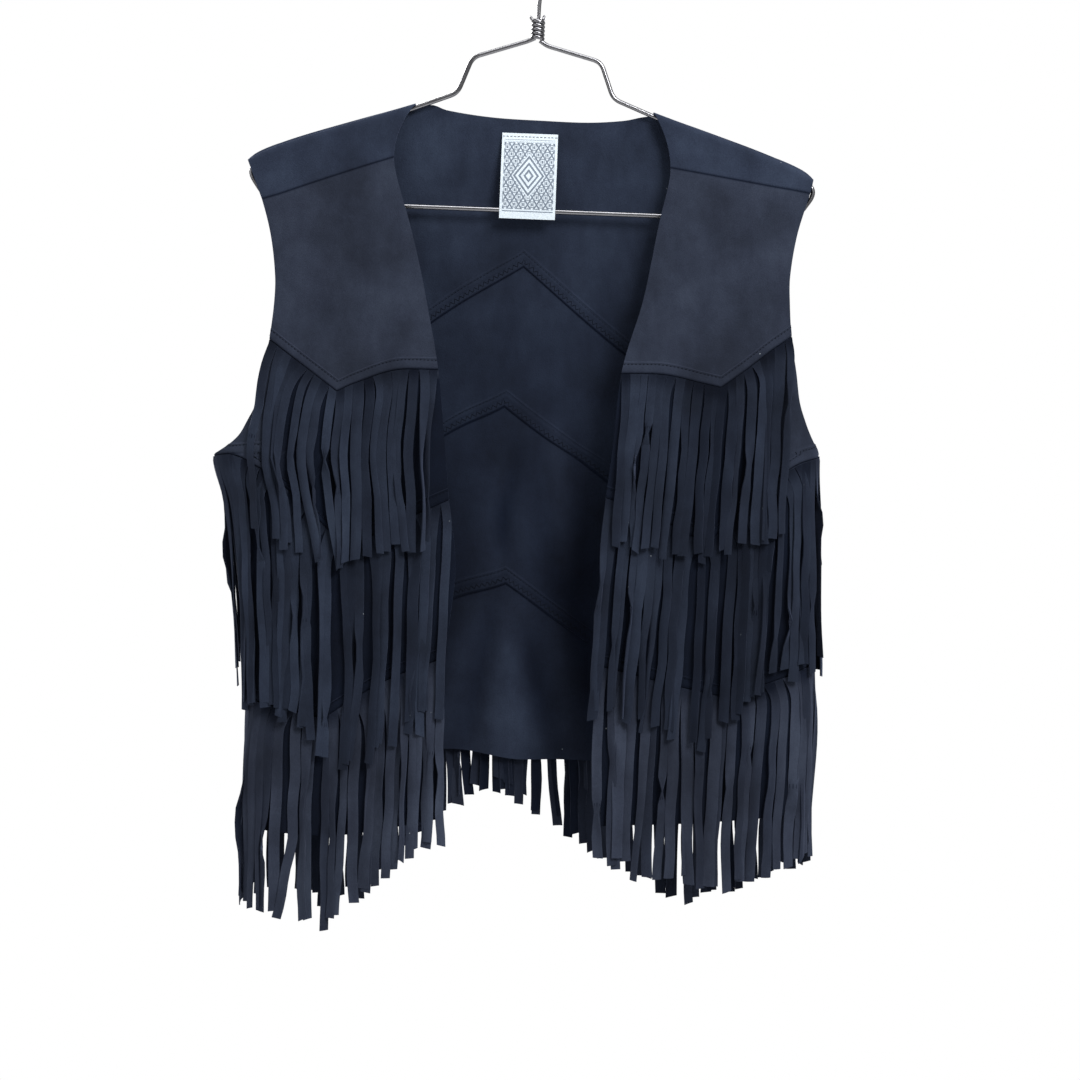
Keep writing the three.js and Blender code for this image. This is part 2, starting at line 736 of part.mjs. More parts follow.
// The hook leaves the collar, leans to the right and turns over the rail to end at the left.
function hangerHook() {
  const centreZ = hookWireRadius - hookRadius;
  const path = [
    new THREE.Vector3(0, 0, collarTop + restGap),
    new THREE.Vector3(0.6, 0, collarTop + 14),
    new THREE.Vector3(3, 0, collarTop + 27),
  ];
  const steps = 18;
  for (let i = 0; i <= steps; i++) {
    const angle = THREE.MathUtils.degToRad(mix(hookAngle.start, hookAngle.end, i / steps));
    path.push(new THREE.Vector3(hookRadius * Math.cos(angle), 0, centreZ + hookRadius * Math.sin(angle)));
  }
  return wireAlong(new THREE.CatmullRomCurve3(path).getPoints(26), hookWireRadius, 8, false);
}

// The wound wire that holds the hook to the frame, as a stack of rounded turns.
function hangerCollar() {
  const height = collarTop - collarBottom;
  const pitch = height / collarTurns;
  const profile = [new THREE.Vector2(0, collarBottom)];
  for (let turn = 0; turn < collarTurns; turn++) {
    const low = collarBottom + turn * pitch;
    profile.push(new THREE.Vector2(collarRadius.groove, low + 0.1 * pitch));
    profile.push(new THREE.Vector2(collarRadius.turn, low + 0.5 * pitch));
    profile.push(new THREE.Vector2(collarRadius.groove, low + 0.9 * pitch));
  }
  profile.push(new THREE.Vector2(0, collarTop));
  const turned = new THREE.LatheGeometry(profile, 10);
  return turned.rotateX(Math.PI / 2);
}

function named(name, geometry, finish) {
  const mesh = new THREE.Mesh(geometry, new THREE.MeshStandardMaterial(finish));
  mesh.name = name;
  return mesh;
}

function buildFront(side) {
  const front = new THREE.Group();
  const turned = side === "right";
  const yokeRows = rowsToTurnedEdge(5, yokeHeight);
  const yokeRise = turnedEdgeRise(frontColumns, yokeRows.length - 1);
  const yoke = frontPanel(side, "shoulder", "yoke", yokeRows);
  const yokeWall = wallOf(yoke, clothThickness, { turned, rise: yokeRise });
  front.add(named(`front_yoke_${side}`, yokeWall, finishes.suede));
  for (const { name, upper, lower, rows } of lowerPanels) {
    const panel = frontPanel(side, upper, lower, evenRows(rows));
    front.add(named(`front_${name}_${side}`, wallOf(panel, clothThickness, { turned }), finishes.suede));
  }
  for (const seam of Object.keys(fringeTiers)) {
    const geometry = wallOf(frontFringe(side, seam), fringeThickness, { turned });
    front.add(named(`fringe_${seam}_${side}`, geometry, finishes.suede));
  }
  return front;
}

function buildBack() {
  const back = new THREE.Group();
  back.add(named("back_yoke", wallOf(backYoke(), clothThickness), finishes.suede));
  for (const { name, upper, lower, rows } of lowerPanels) {
    back.add(named(`back_${name}`, wallOf(backPanel(upper, lower, rows), clothThickness), finishes.suede));
  }
  for (const seam of Object.keys(fringeTiers)) {
    back.add(named(`fringe_${seam}_back`, wallOf(backFringe(seam), fringeThickness), finishes.suede));
  }
  back.add(named("neck_label", wallOf(neckLabel(), labelThickness), finishes.label));
  return back;
}

function buildHanger() {
  const hanger = new THREE.Group();
  hanger.rotation.y = hangerTilt;
  hanger.add(named("hanger_frame", hangerFrame(), finishes.wire));
  hanger.add(named("hanger_hook", hangerHook(), finishes.wire));
  hanger.add(named("hanger_collar", hangerCollar(), finishes.wire));
  return hanger;
}

const vest = new THREE.Group();
vest.add(buildFront("left"), buildFront("right"), buildBack(), buildHanger());

export default vest;
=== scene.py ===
import math


import bmesh
import bpy
import numpy as np
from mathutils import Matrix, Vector


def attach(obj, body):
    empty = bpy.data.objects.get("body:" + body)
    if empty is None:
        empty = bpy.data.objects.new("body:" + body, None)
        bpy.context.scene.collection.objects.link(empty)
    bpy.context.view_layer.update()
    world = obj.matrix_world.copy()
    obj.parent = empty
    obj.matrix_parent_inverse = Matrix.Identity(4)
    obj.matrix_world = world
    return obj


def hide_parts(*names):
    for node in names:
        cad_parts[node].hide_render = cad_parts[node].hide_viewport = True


bl_info = {
    "name": "Fringe Vest",
    "version": (1, 0, 0),
    "blender": (4, 5, 0),
    "location": "View3D > Sidebar > Fringe Vest",
    "description": "Builds a suede-cloth fringe vest on a wire hanger, with its studio stage",
    "category": "Object",
}

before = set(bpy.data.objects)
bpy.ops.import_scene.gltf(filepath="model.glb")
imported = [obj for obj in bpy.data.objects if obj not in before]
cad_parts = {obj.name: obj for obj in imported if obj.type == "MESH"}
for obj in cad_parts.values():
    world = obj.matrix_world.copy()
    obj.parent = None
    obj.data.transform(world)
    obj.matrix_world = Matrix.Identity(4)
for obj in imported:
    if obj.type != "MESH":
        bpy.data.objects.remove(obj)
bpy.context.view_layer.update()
MM = 0.001

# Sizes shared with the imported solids

CLOTH, STRAND, LABEL = 1.2, 1.0, 1.0
SIDE_LAP = 0.05
SEAM_LAP = -0.05
WIRE_RADIUS, HOOK_WIRE_RADIUS = 1.75, 1.6
HANGER_TILT = math.radians(2.2)
HANGER_OUTLINE = ((0, -110, 5), (49.5, -123, 6), (60, -151, 6), (221, -213.8, 13), (203, -239.6, 12))
SHOULDER_INNER, SHOULDER_OUTER = HANGER_OUTLINE[2], HANGER_OUTLINE[3]
BAR_DROP = 239.6
HOOK_RADIUS = 21.6
COLLAR_TOP, COLLAR_BOTTOM = -90.0, -108.4

NECK_POINT = {"left": -98.0, "right": 85.0}
SHOULDER_TIP = {"left": -227.0, "right": 208.0}
CENTRE = -11.0
REST_HEIGHT = WIRE_RADIUS + 0.3 + CLOTH / 2
FOLD_RADIUS = 5.0
CHEST_DEPTH_RUN = 220.0
SIDE_ROUND, SIDE_ARC = 38.0, 50.0
SIGN = {"left": -1, "right": 1}


def columns(names, *rows):
    return {name: np.array([row[i] for row in rows], float) for i, name in enumerate(names.split())}


SHOULDER_RISE = columns("share rise", (0, 0), (0.35, 2.4), (0.75, 4.6), (0.92, 4), (1, 1.6))
NECK_SAG = columns(
    "share sag", (0, 1.5), (0.07, -0.6), (0.13, 3), (0.32, 7.2), (0.54, 8.4), (0.73, 8.5), (0.88, 6), (0.95, 3), (1, 1.5)
)
BODY = columns(
    "drop left right front back",
    (150, 228, 228, 8, 8),
    (240, 229, 227, 15, 13),
    (330, 231, 224, 21, 18),
    (427, 241, 222, 25, 22),
    (465, 231, 220, 26, 24),
    (540, 222, 219, 28, 26),
    (620, 216, 217, 30, 28),
    (720, 216, 211, 32, 30),
)
FRONT_EDGE = columns(
    "drop left right",
    (157, -99, 83),
    (182, -112.4, 92.5),
    (199, -114.5, 97),
    (214, -112.2, 97.5),
    (248, -102.7, 89.5),
    (280, -94.9, 83),
    (312, -88.6, 76),
    (363, -79.9, 60.4),
    (424, -74.5, 53),
    (462, -71.6, 47.7),
    (512, -66.5, 43.9),
    (554, -71, 41.5),
    (585, -75.5, 42.5),
    (630, -77.5, 43),
    (716, -79, 43.9),
)
ARMHOLE = columns(
    "drop left right",
    (198, -227, 208),
    (218, -221.5, 207.9),
    (231, -215.8, 203.8),
    (259, -208.7, 195),
    (291, -205, 189.2),
    (312, -205.6, 188.8),
    (340, -208.7, 190),
    (366, -211.8, 193.5),
    (388, -218.4, 196),
    (403, -226.1, 200.5),
    (413, -232.2, 204.5),
    (422, -243, 209),
    (427, -251.9, 210.9),
)
ARMPIT_DROP = 427.0

# Seams: place is 0 at the free edge or the peak and 1 at the armhole or side; sharp marks a corner.
FRONT_SEAMS = {
    "shoulder": columns("place share left right sharp", (0, 0, 198.7, 207.1, 1), (0.42, 0.54, 216.2, 217.7, 0), (1, 1, 231, 226.6, 1)),
    "yoke": columns(
        "place share left right sharp",
        (0, 0, 362.7, 365.8, 1),
        (0.17, 0.25, 363.1, 366.8, 0),
        (0.33, 0.48, 373, 373.5, 0),
        (0.42, 0.58, 379.2, 376.5, 1),
        (1, 1, 339.6, 337.3, 1),
    ),
    "chest": columns(
        "place share left right sharp",
        (0, 0, 462, 460.5, 1),
        (0.17, 0.18, 476, 471, 0),
        (0.42, 0.452, 499, 496, 1),
        (0.83, 0.8, 430.5, 437, 0),
        (1, 1, 427.8, 427.8, 1),
    ),
    "waist": columns(
        "place share left right sharp", (0, 0, 582, 588.3, 1), (0.17, 0.26, 599, 600, 0), (0.42, 0.56, 628.3, 613, 1), (1, 1, 609, 582, 1)
    ),
    "hem": columns("place share left right sharp", (0, 0, 704.6, 710, 1), (0.42, 0.5, 717, 707, 0), (1, 1, 710, 700, 1)),
}
BACK_SEAMS = {
    "yoke": columns(
        "place share left right sharp", (0, 0, 281, 281, 1), (0.36, 0.36, 322, 344, 0), (0.57, 0.66, 369.6, 388.9, 1), (1, 1, 337.3, 337.3, 1)
    ),
    "chest": columns(
        "place share left right sharp",
        (0, 0, 388.9, 388.9, 1),
        (0.36, 0.3, 422, 444, 0),
        (0.57, 0.56, 490, 499, 1),
        (0.86, 0.85, 433, 437, 0),
        (1, 1, 427.8, 427.8, 1),
    ),
    "waist": columns(
        "place share left right sharp", (0, 0, 526.4, 526.4, 1), (0.36, 0.3, 552, 580, 0), (0.57, 0.6, 620, 622, 1), (1, 1, 609, 582, 1)
    ),
    "hem": columns(
        "place share left right sharp", (0, 0, 663.5, 663.5, 1), (0.36, 0.3, 656, 667, 0), (0.57, 0.6, 674, 685, 0), (1, 1, 710, 700, 1)
    ),
}
BACK_PEAKS = {"yoke": 4.0, "chest": 19.0, "waist": 18.0, "hem": 10.0}
VALLEY = {"front": 0.42, "back": 0.57}

# Large upright folds, as in the solids: place across, half width, depth and the drop each starts at
BACK_FOLDS = ((-32, 26, -5, 388), (24, 28, 4, 400), (-92, 30, 4, 430), (110, 30, -3, 460))
FRONT_FOLDS = ((-120, 26, -2, 250), (-180, 26, 1.6, 420), (98, 26, -2, 250), (155, 26, 1.6, 420))
FOLD_RUN = 160.0

# Smaller creases: from one point to another across and down, half width, depth out of the cloth
BACK_CREASES = (
    (-70, 250, -46, 352, 9, -1.2),
    (40, 268, 58, 372, 12, 1.1),
    (-20, 420, -34, 500, 8, 3.4),
    (8, 405, 18, 520, 9, -3.6),
    (-34, 462, -28, 515, 8, 3.2),
    (-36, 533, -60, 655, 9, 4.6),
    (-62, 545, -84, 660, 10, -3.4),
    (-17, 560, 0, 640, 9, 4.2),
    (8, 548, 24, 665, 9, -3.8),
    (34, 560, 46, 680, 9, 3.2),
    (-150, 380, -128, 470, 13, 1.3),
    (132, 390, 150, 480, 13, -1.2),
    (-118, 590, -110, 690, 11, 1.4),
    (150, 590, 140, 690, 12, 1.2),
)
FRONT_CREASES = (
    (-108, 205, -168, 262, 15, 1.0),
    (-205, 246, -150, 300, 14, -0.9),
    (-118, 290, -102, 356, 9, 1.1),
    (-176, 300, -150, 372, 13, -1.1),
    (-215, 318, -186, 352, 9, 0.9),
    (-99, 380, -94, 500, 8, 1.6),
    (-140, 400, -130, 520, 11, -1.4),
    (-190, 470, -176, 590, 12, 1.5),
    (-96, 560, -92, 700, 8, -1.5),
    (-150, 600, -146, 706, 10, 1.4),
    (-206, 620, -200, 705, 10, -1.2),
    (96, 205, 148, 258, 15, 1.0),
    (186, 246, 140, 298, 13, -0.9),
    (92, 286, 78, 358, 9, 1.1),
    (150, 300, 128, 366, 13, -1.1),
    (78, 380, 68, 500, 8, 1.5),
    (118, 400, 112, 520, 11, -1.3),
    (172, 460, 164, 590, 12, 1.4),
    (72, 560, 66, 700, 8, -1.4),
    (124, 600, 120, 706, 10, 1.3),
    (186, 610, 182, 700, 10, -1.2),
)

# Drops, and how much painted shade darkens the cloth's reverse there
REVERSE_SHADE = ((150, 250, 330, 430, 520, 620, 720), (0, -0.06, -0.24, -0.32, -0.38, -0.27, -0.1))
# How much lighter the cloth is painted for each millimetre that a fold or crease stands up, and darker for each
# millimetre that it sinks
CREASE_SHADE = 0.035

TIERS = {
    "yoke": {"length": 135.0, "end_off": 5.6, "stray": 10.0, "ragged": 5.0, "fullness": 1.0, "thin": 0.2, "pinched": 0.4},
    "chest": {"length": 163.0, "end_off": 5.4, "stray": 12.0, "ragged": 8.0, "fullness": 1.03, "thin": 0.18, "pinched": 0.4},
    "waist": {"length": 154.0, "end_off": 3.2, "stray": 4.0, "ragged": 6.0, "fullness": 1.11, "thin": 0.06, "pinched": 0.26},
}
STRIP_GAP, STRIP_DROP = 0.6, 0.6

# Lengths of the strands along each front seam, from the free edge to the side
STRAND_LENGTHS = {
    "yoke": columns("place left right", (0, 135, 133), (0.6, 135, 134), (1, 146, 147)),
    "chest": columns(
        "place left right",
        (0, 164, 162),
        (0.3, 165, 153),
        (0.6, 168, 153),
        (0.8, 184, 154),
        (0.93, 190, 156),
        (0.98, 170, 156),
        (1, 160, 156),
    ),
    "waist": columns("place left right", (0, 137, 144), (0.45, 153, 147), (1, 157, 143)),
}
# Places along each front seam, and how much painted shadow darkens the fringe there
FRINGE_SHADE = {"left": ((0, 1), (0, 0)), "right": ((0.3, 0.4, 0.54, 0.68, 1), (0, -0.26, -0.26, -0.1, -0.12))}
# How much painted shadow darkens the cloth under the fringe
UNDER_FRINGE_SHADE = -0.48
LABEL_SIZE = {"width": 43.0, "length": 66.6, "x": -9.8, "drop": 179.3}


# The form of the hanging cloth


def read_curved(table, key, at, column):
    """A column of a table at a place, on a smooth curve through its rows."""
    places, values = table[key], table[column]
    last = len(places) - 1
    at = np.clip(at, places[0], places[-1])
    i = np.clip(np.searchsorted(places, at, side="left") - 1, 0, last - 1)
    before, after = np.maximum(i - 1, 0), np.minimum(i + 2, last)
    span = places[i + 1] - places[i]
    start = span * (values[i + 1] - values[before]) / (places[i + 1] - places[before])
    end = span * (values[after] - values[i]) / (places[after] - places[i])
    t, rise = (at - places[i]) / span, values[i + 1] - values[i]
    return values[i] + t * (start + t * (3 * rise - 2 * start - end + t * (start + end - 2 * rise)))


def read_seam(table, place, column):
    """A seam's drop or share, smooth between its sharp corners."""
    place = np.asarray(place, float)
    value = np.zeros_like(place)
    corners = np.flatnonzero(table["sharp"])
    for first, last in zip(corners, corners[1:]):
        part = {key: table[key][first : last + 1] for key in ("place", column)}
        inside = (place >= part["place"][0]) & (place <= part["place"][-1])
        value = np.where(inside, read_curved(part, "place", place, column), value)
    return value


def smooth(at, low, high):
    t = np.clip((np.asarray(at, float) - low) / (high - low), 0, 1)
    return t * t * (3 - 2 * t)


def mix(a, b, share):
    return a + (b - a) * share


def on_hanger(x, z):
    c, s = math.cos(HANGER_TILT), math.sin(HANGER_TILT)
    return x * c + z * s, z * c - x * s


def shoulder_fold_drop(side, x):
    inner = on_hanger(SIGN[side] * SHOULDER_INNER[0], SHOULDER_INNER[1])
    outer = on_hanger(SIGN[side] * SHOULDER_OUTER[0], SHOULDER_OUTER[1])
    wire_z = mix(inner[1], outer[1], (x - inner[0]) / (outer[0] - inner[0]))
    share = np.clip((x - NECK_POINT[side]) / (SHOULDER_TIP[side] - NECK_POINT[side]), 0, 1)
    return -wire_z - REST_HEIGHT - read_curved(SHOULDER_RISE, "share", share, "rise")


NECK_DROP = {side: float(shoulder_fold_drop(side, NECK_POINT[side])) for side in SIGN}


def across_neck(x):
    share = (x - NECK_POINT["left"]) / (NECK_POINT["right"] - NECK_POINT["left"])
    return share, mix(NECK_DROP["left"], NECK_DROP["right"], share)


def fold_drop(x):
    inside = np.minimum(x - NECK_POINT["left"], NECK_POINT["right"] - x)
    middle = across_neck(x)[1] - 5 * np.clip(inside / 12, 0, 1)
    side = np.where(x <= NECK_POINT["left"], shoulder_fold_drop("left", x), shoulder_fold_drop("right", x))
    return np.where(inside > 0, middle, side)


def half_width(side, drop):
    return read_curved(BODY, "drop", drop, side) - SIDE_ROUND


def across_body(side, girth, drop):
    flat = half_width(side, drop)
    turn = np.clip((girth - flat) / SIDE_ARC, 0, 1) * math.pi / 2
    reach = np.where(girth < flat, girth, flat + SIDE_ROUND * np.sin(turn))
    return CENTRE + SIGN[side] * reach, np.cos(turn)


def girth_at(side, x, drop):
    flat = half_width(side, drop)
    reach = SIGN[side] * (x - CENTRE)
    bend = np.arcsin(np.clip((reach - flat) / SIDE_ROUND, 0, 1))
    return np.where(reach < flat, reach, flat + SIDE_ARC * bend / (math.pi / 2))


def side_seam_girth(side, drop):
    return half_width(side, drop) + SIDE_ARC


def hang_depth(x, drop, section):
    below = np.maximum(0, drop - fold_drop(x))
    over = np.sqrt(np.clip(FOLD_RADIUS**2 - (FOLD_RADIUS - np.minimum(below, FOLD_RADIUS)) ** 2, 0, None))
    run = np.clip((below - FOLD_RADIUS) / CHEST_DEPTH_RUN, 0, 1)
    return np.where(below < FOLD_RADIUS, over, FOLD_RADIUS + (section - FOLD_RADIUS) * run * (2 - run))


def relief(folds, creases, x, drop):
    """How far the folds and creases push the cloth out, from the wearer's side."""
    out = 0
    for at, width, depth, start in folds:
        out = out + depth * smooth(drop, start, start + FOLD_RUN) * np.exp(-(((x - at) / width) ** 2))
    for x0, d0, x1, d1, width, depth in creases:
        length2 = (x1 - x0) ** 2 + (d1 - d0) ** 2
        along = ((x - x0) * (x1 - x0) + (drop - d0) * (d1 - d0)) / length2
        near = np.clip(along, 0, 1)
        away2 = (x - mix(x0, x1, near)) ** 2 + (drop - mix(d0, d1, near)) ** 2
        out = out + depth * np.sin(math.pi * np.clip(along * 0.8 + 0.1, 0, 1)) ** 0.8 * np.exp(-away2 / width**2)
    return out


def wobble(x, drop, seed):
    """The slight unevenness of limp cloth, under half a millimetre."""
    waves = ((0.043, 0.031, 0.20), (0.081, -0.052, 0.13), (0.022, 0.094, 0.15), (0.145, 0.117, 0.06))
    return sum(size * np.sin(a * x + b * drop + seed * (i + 1.7)) for i, (a, b, size) in enumerate(waves))


def front_point(side, girth, drop):
    x, corner = across_body(side, girth, drop)
    depth = hang_depth(x, drop, read_curved(BODY, "drop", drop, "front"))
    out = relief([(a, w, -d, s) for a, w, d, s in FRONT_FOLDS], FRONT_CREASES, x, drop) + wobble(x, drop, 2.1)
    return np.stack([x, -corner * (depth + out * smooth(depth, 5, 12)), -drop], -1)


def back_point(girth, drop):
    girth, drop = np.broadcast_arrays(np.asarray(girth, float), np.asarray(drop, float))
    left, right = across_body("left", np.abs(girth), drop), across_body("right", np.abs(girth), drop)
    x, corner = np.where(girth < 0, left[0], right[0]), np.where(girth < 0, left[1], right[1])
    depth = hang_depth(x, drop, read_curved(BODY, "drop", drop, "back"))
    out = relief(BACK_FOLDS, BACK_CREASES, x, drop) + wobble(x, drop, 5.3)
    return np.stack([x, corner * (depth + out * smooth(depth, 5, 12)), -drop], -1)


def on_cloth(surface, girth, drop, turn):
    """Points of the cloth and the way out of it there."""
    across = surface(girth + 0.5, drop) - surface(girth - 0.5, drop)
    down = surface(girth, drop + 0.5) - surface(girth, drop - 0.5)
    out = np.cross(across, down)
    return surface(girth, drop), turn * out / np.linalg.norm(out, axis=-1, keepdims=True)


def on_front(side, girth, drop):
    return on_cloth(lambda g, d: front_point(side, g, d), girth, drop, 1 if side == "left" else -1)


def on_back(girth, drop):
    return on_cloth(back_point, girth, drop, 1)


def outer_girth(side, drop):
    seam = side_seam_girth(side, drop) + SIDE_LAP
    edge = girth_at(side, read_curved(ARMHOLE, "drop", drop, side), drop)
    return np.where(drop >= ARMPIT_DROP, seam, np.minimum(edge, seam))


def front_girth(side, share, drop):
    inner = girth_at(side, read_curved(FRONT_EDGE, "drop", drop, side), drop)
    return mix(inner, outer_girth(side, drop), share)


def back_girth(side, share, peak, drop):
    return mix(-peak, SIGN[side] * outer_girth(side, drop), share)


def front_seam_line(side, seam, place, lift=0.0):
    """Girths and drops along a front's seam, or a set distance above it."""
    table = FRONT_SEAMS[seam]
    drop = read_seam(table, place, side) - lift
    return front_girth(side, read_seam(table, place, "share"), drop), drop


def back_seam_line(seam, place, lift=0.0):
    """The same along the back, where place runs from -1 at the left to 1 at the right."""
    table, place = BACK_SEAMS[seam], np.asarray(place, float)
    girth, drop = np.zeros_like(place), np.zeros_like(place)
    for side, half in (("left", place < 0), ("right", place >= 0)):
        at = np.abs(place[half])
        drop[half] = read_seam(table, at, side) - lift
        girth[half] = back_girth(side, read_seam(table, at, "share"), BACK_PEAKS[seam], drop[half])
    return girth, drop


# Meshes


def grid_quads(rows, cols, keep=None):
    """Quads of a grid of points, rows by columns. Keep leaves out quads that touch a missing point."""
    at = np.arange(rows * cols).reshape(rows, cols)
    quads = np.stack([at[:-1, :-1], at[:-1, 1:], at[1:, 1:], at[1:, :-1]], -1).reshape(-1, 4)
    return quads if keep is None else quads[keep.ravel()[quads].all(1)]


def wall(points, quads, outer=0.0, inner=0.0, thickness=CLOTH):
    """A closed wall round a sheet, whose faces may stand proud of it on either side."""
    facing = np.cross(points[quads[:, 2]] - points[quads[:, 0]], points[quads[:, 3]] - points[quads[:, 1]])
    out = np.zeros_like(points)
    for corner in range(4):
        np.add.at(out, quads[:, corner], facing)
    out /= np.maximum(np.linalg.norm(out, axis=1, keepdims=True), 1e-9)
    count = len(points)
    up = thickness / 2 + np.broadcast_to(np.ravel(outer), (count,))
    down = thickness / 2 + np.broadcast_to(np.ravel(inner), (count,))
    both = np.concatenate([points + out * up[:, None], points - out * down[:, None]])
    faces = quads.tolist() + (quads[:, ::-1] + count).tolist()
    edges = {(q[i], q[(i + 1) % 4]) for q in quads.tolist() for i in range(4)}
    for a, b in sorted(edges):
        if (b, a) not in edges:
            faces.append([b, a, a + count, b + count])
    return both, faces


def make_piece(name, points, faces, material, uv=None, shade_and_tone=None, sharp=40):
    """A mesh object in metres at the origin, from points in millimetres."""
    used = np.unique(np.concatenate([np.asarray(f) for f in faces]))
    renumber = np.full(len(points), -1)
    renumber[used] = np.arange(len(used))
    mesh = bpy.data.meshes.new(name)
    mesh.from_pydata((points[used] * MM).tolist(), [], [[int(renumber[i]) for i in f] for f in faces])
    if uv is not None:
        layer = mesh.uv_layers.new(name="cloth")
        corners = np.empty(len(mesh.loops), np.int32)
        mesh.loops.foreach_get("vertex_index", corners)
        layer.data.foreach_set("uv", (uv[used][corners] * MM).astype(np.float32).ravel())
    values = np.full(len(used), 0.5, np.float32) if shade_and_tone is None else shade_and_tone[used].astype(np.float32)
    mesh.attributes.new("shade_and_tone", "FLOAT", "POINT").data.foreach_set("value", values)
    mesh.shade_smooth()
    if sharp:
        mesh.set_sharp_from_angle(angle=math.radians(sharp))
    mesh.validate()
    mesh.update()
    piece = bpy.data.objects.new(name, mesh)
    bpy.context.scene.collection.objects.link(piece)
    piece.data.materials.append(material)
    return piece


def flat_area(points, quads):
    """Area of a sheet in square metres."""
    cross = np.cross(points[quads[:, 2]] - points[quads[:, 0]], points[quads[:, 3]] - points[quads[:, 1]])
    return float(np.linalg.norm(cross, axis=1).sum() / 2) * MM * MM


def fit_piece(piece, node):
    """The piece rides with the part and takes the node's place."""
    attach(piece, "root")
    if node:
        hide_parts(node)


def declare_cloth(sheet, quads):
    """Works out the cut of a hung sheet, the size of its rectangle and its own flat area, but does not use them."""
    width = np.linalg.norm(np.diff(sheet, axis=1), axis=2).sum(1).max() * MM
    length = np.linalg.norm(np.diff(sheet, axis=0), axis=2).sum(0).max() * MM
    area = flat_area(sheet.reshape(-1, 3), quads)
    area = min(max(area, 0.31 * width * length), width * length)


def spread(*stops):
    """Places from one stop to the next, each pair split into its number of steps."""
    parts = [np.array([stops[0]], float)]
    for start, steps, end in zip(stops[0::2], stops[1::2], stops[2::2]):
        parts.append(np.linspace(start, end, steps + 1)[1:])
    return np.concatenate(parts)


# Heights above a seam where rows are close, for the turned edge outside and the seam allowance inside
BAND_ROWS = (14.6, 13.6, 12.9, 12.2, 10.8, 9.7, 9.0, 8.3, 7.5, 6.9, 6.2, 4.6, 3.0, 1.7, 0.8, 0.0)


def row_drops(top, bottom, rows, banded):
    """Drops of a panel's rows at each column, crowded into the band above its lower seam."""
    near = np.array(BAND_ROWS if banded else (0.8, 0.0))
    start = bottom - near[0] - (bottom - top) / rows * 0.7
    under = [top + below for below in (0, 0.4, 0.9, 1.6)]
    even = [mix(top + 2.6, start, i / rows) for i in range(rows + 1)]
    return np.stack(under + even + [bottom - height for height in near])


def seam_dip(below):
    """How far the outer face sinks just under the seam above."""
    return -0.4 * np.exp(-((below / 0.8) ** 2))


def turned_edge(height, stand):
    """Outer face of the turned edge: it steps up, is drawn in along its stitching and rolls to the seam."""
    step = 1 - smooth(height, 8.2, 9.2)
    stitched = 0.45 * np.exp(-(((height - 6.9) / 0.8) ** 2))
    rolled = 0.4 * (1 - smooth(height, 0, 1.6))
    return step * stand * (1 - stitched - rolled)


def allowance(height, stand):
    """Inner face of the seam allowance: a raised band with a stitched row near its top."""
    step = 1 - smooth(height, 12.4, 13.4)
    stitched = 0.5 * np.exp(-(((height - 10.8) / 0.8) ** 2))
    rolled = 0.5 * (1 - smooth(height, 0, 1.4))
    return step * stand * (1 - stitched - rolled)


def painted_seam_shade(height, below_top):
    """How light the cloth is painted: painted shade in the seam itself, along the groove of its stitching and just
    under the seam above.
    """
    seam = 0.5 * np.exp(-((height / 0.9) ** 2)) + 0.07 * np.exp(-(((height - 6.9) / 0.7) ** 2))
    return 0.5 - seam - 0.5 * np.exp(-((below_top / 0.9) ** 2))


def front_sheet(side, upper, lower, rows, banded):
    place = spread(0, 20, VALLEY["front"], 28, 1)
    tables = FRONT_SEAMS[upper], FRONT_SEAMS[lower]
    top = read_seam(tables[0], place, side) + SEAM_LAP
    bottom = read_seam(tables[1], place, side) - SEAM_LAP
    drop = row_drops(top, bottom, rows, banded)
    at = (drop - top) / (bottom - top)
    girth = front_girth(side, mix(read_seam(tables[0], place, "share"), read_seam(tables[1], place, "share"), at), drop)
    return front_point(side, girth, drop), np.stack([girth, -drop], -1), bottom - drop, drop - top


def back_sheet(upper, lower, rows, banded):
    half = spread(0, 24, VALLEY["back"], 28, 1)
    parts = []
    for side, place in (("left", half[::-1]), ("right", half[1:])):
        tables = BACK_SEAMS[upper], BACK_SEAMS[lower]
        top = read_seam(tables[0], place, side) + SEAM_LAP
        bottom = read_seam(tables[1], place, side) - SEAM_LAP
        drop = row_drops(top, bottom, rows, banded)
        at = (drop - top) / (bottom - top)
        share = mix(read_seam(tables[0], place, "share"), read_seam(tables[1], place, "share"), at)
        girth = back_girth(side, share, mix(BACK_PEAKS[upper], BACK_PEAKS[lower], at), drop)
        parts.append((girth, drop, bottom - drop, drop - top))
    girth, drop, height, below = (np.concatenate([a, b], 1) for a, b in zip(*parts))
    return back_point(girth, drop), np.stack([girth, -drop], -1), height, below


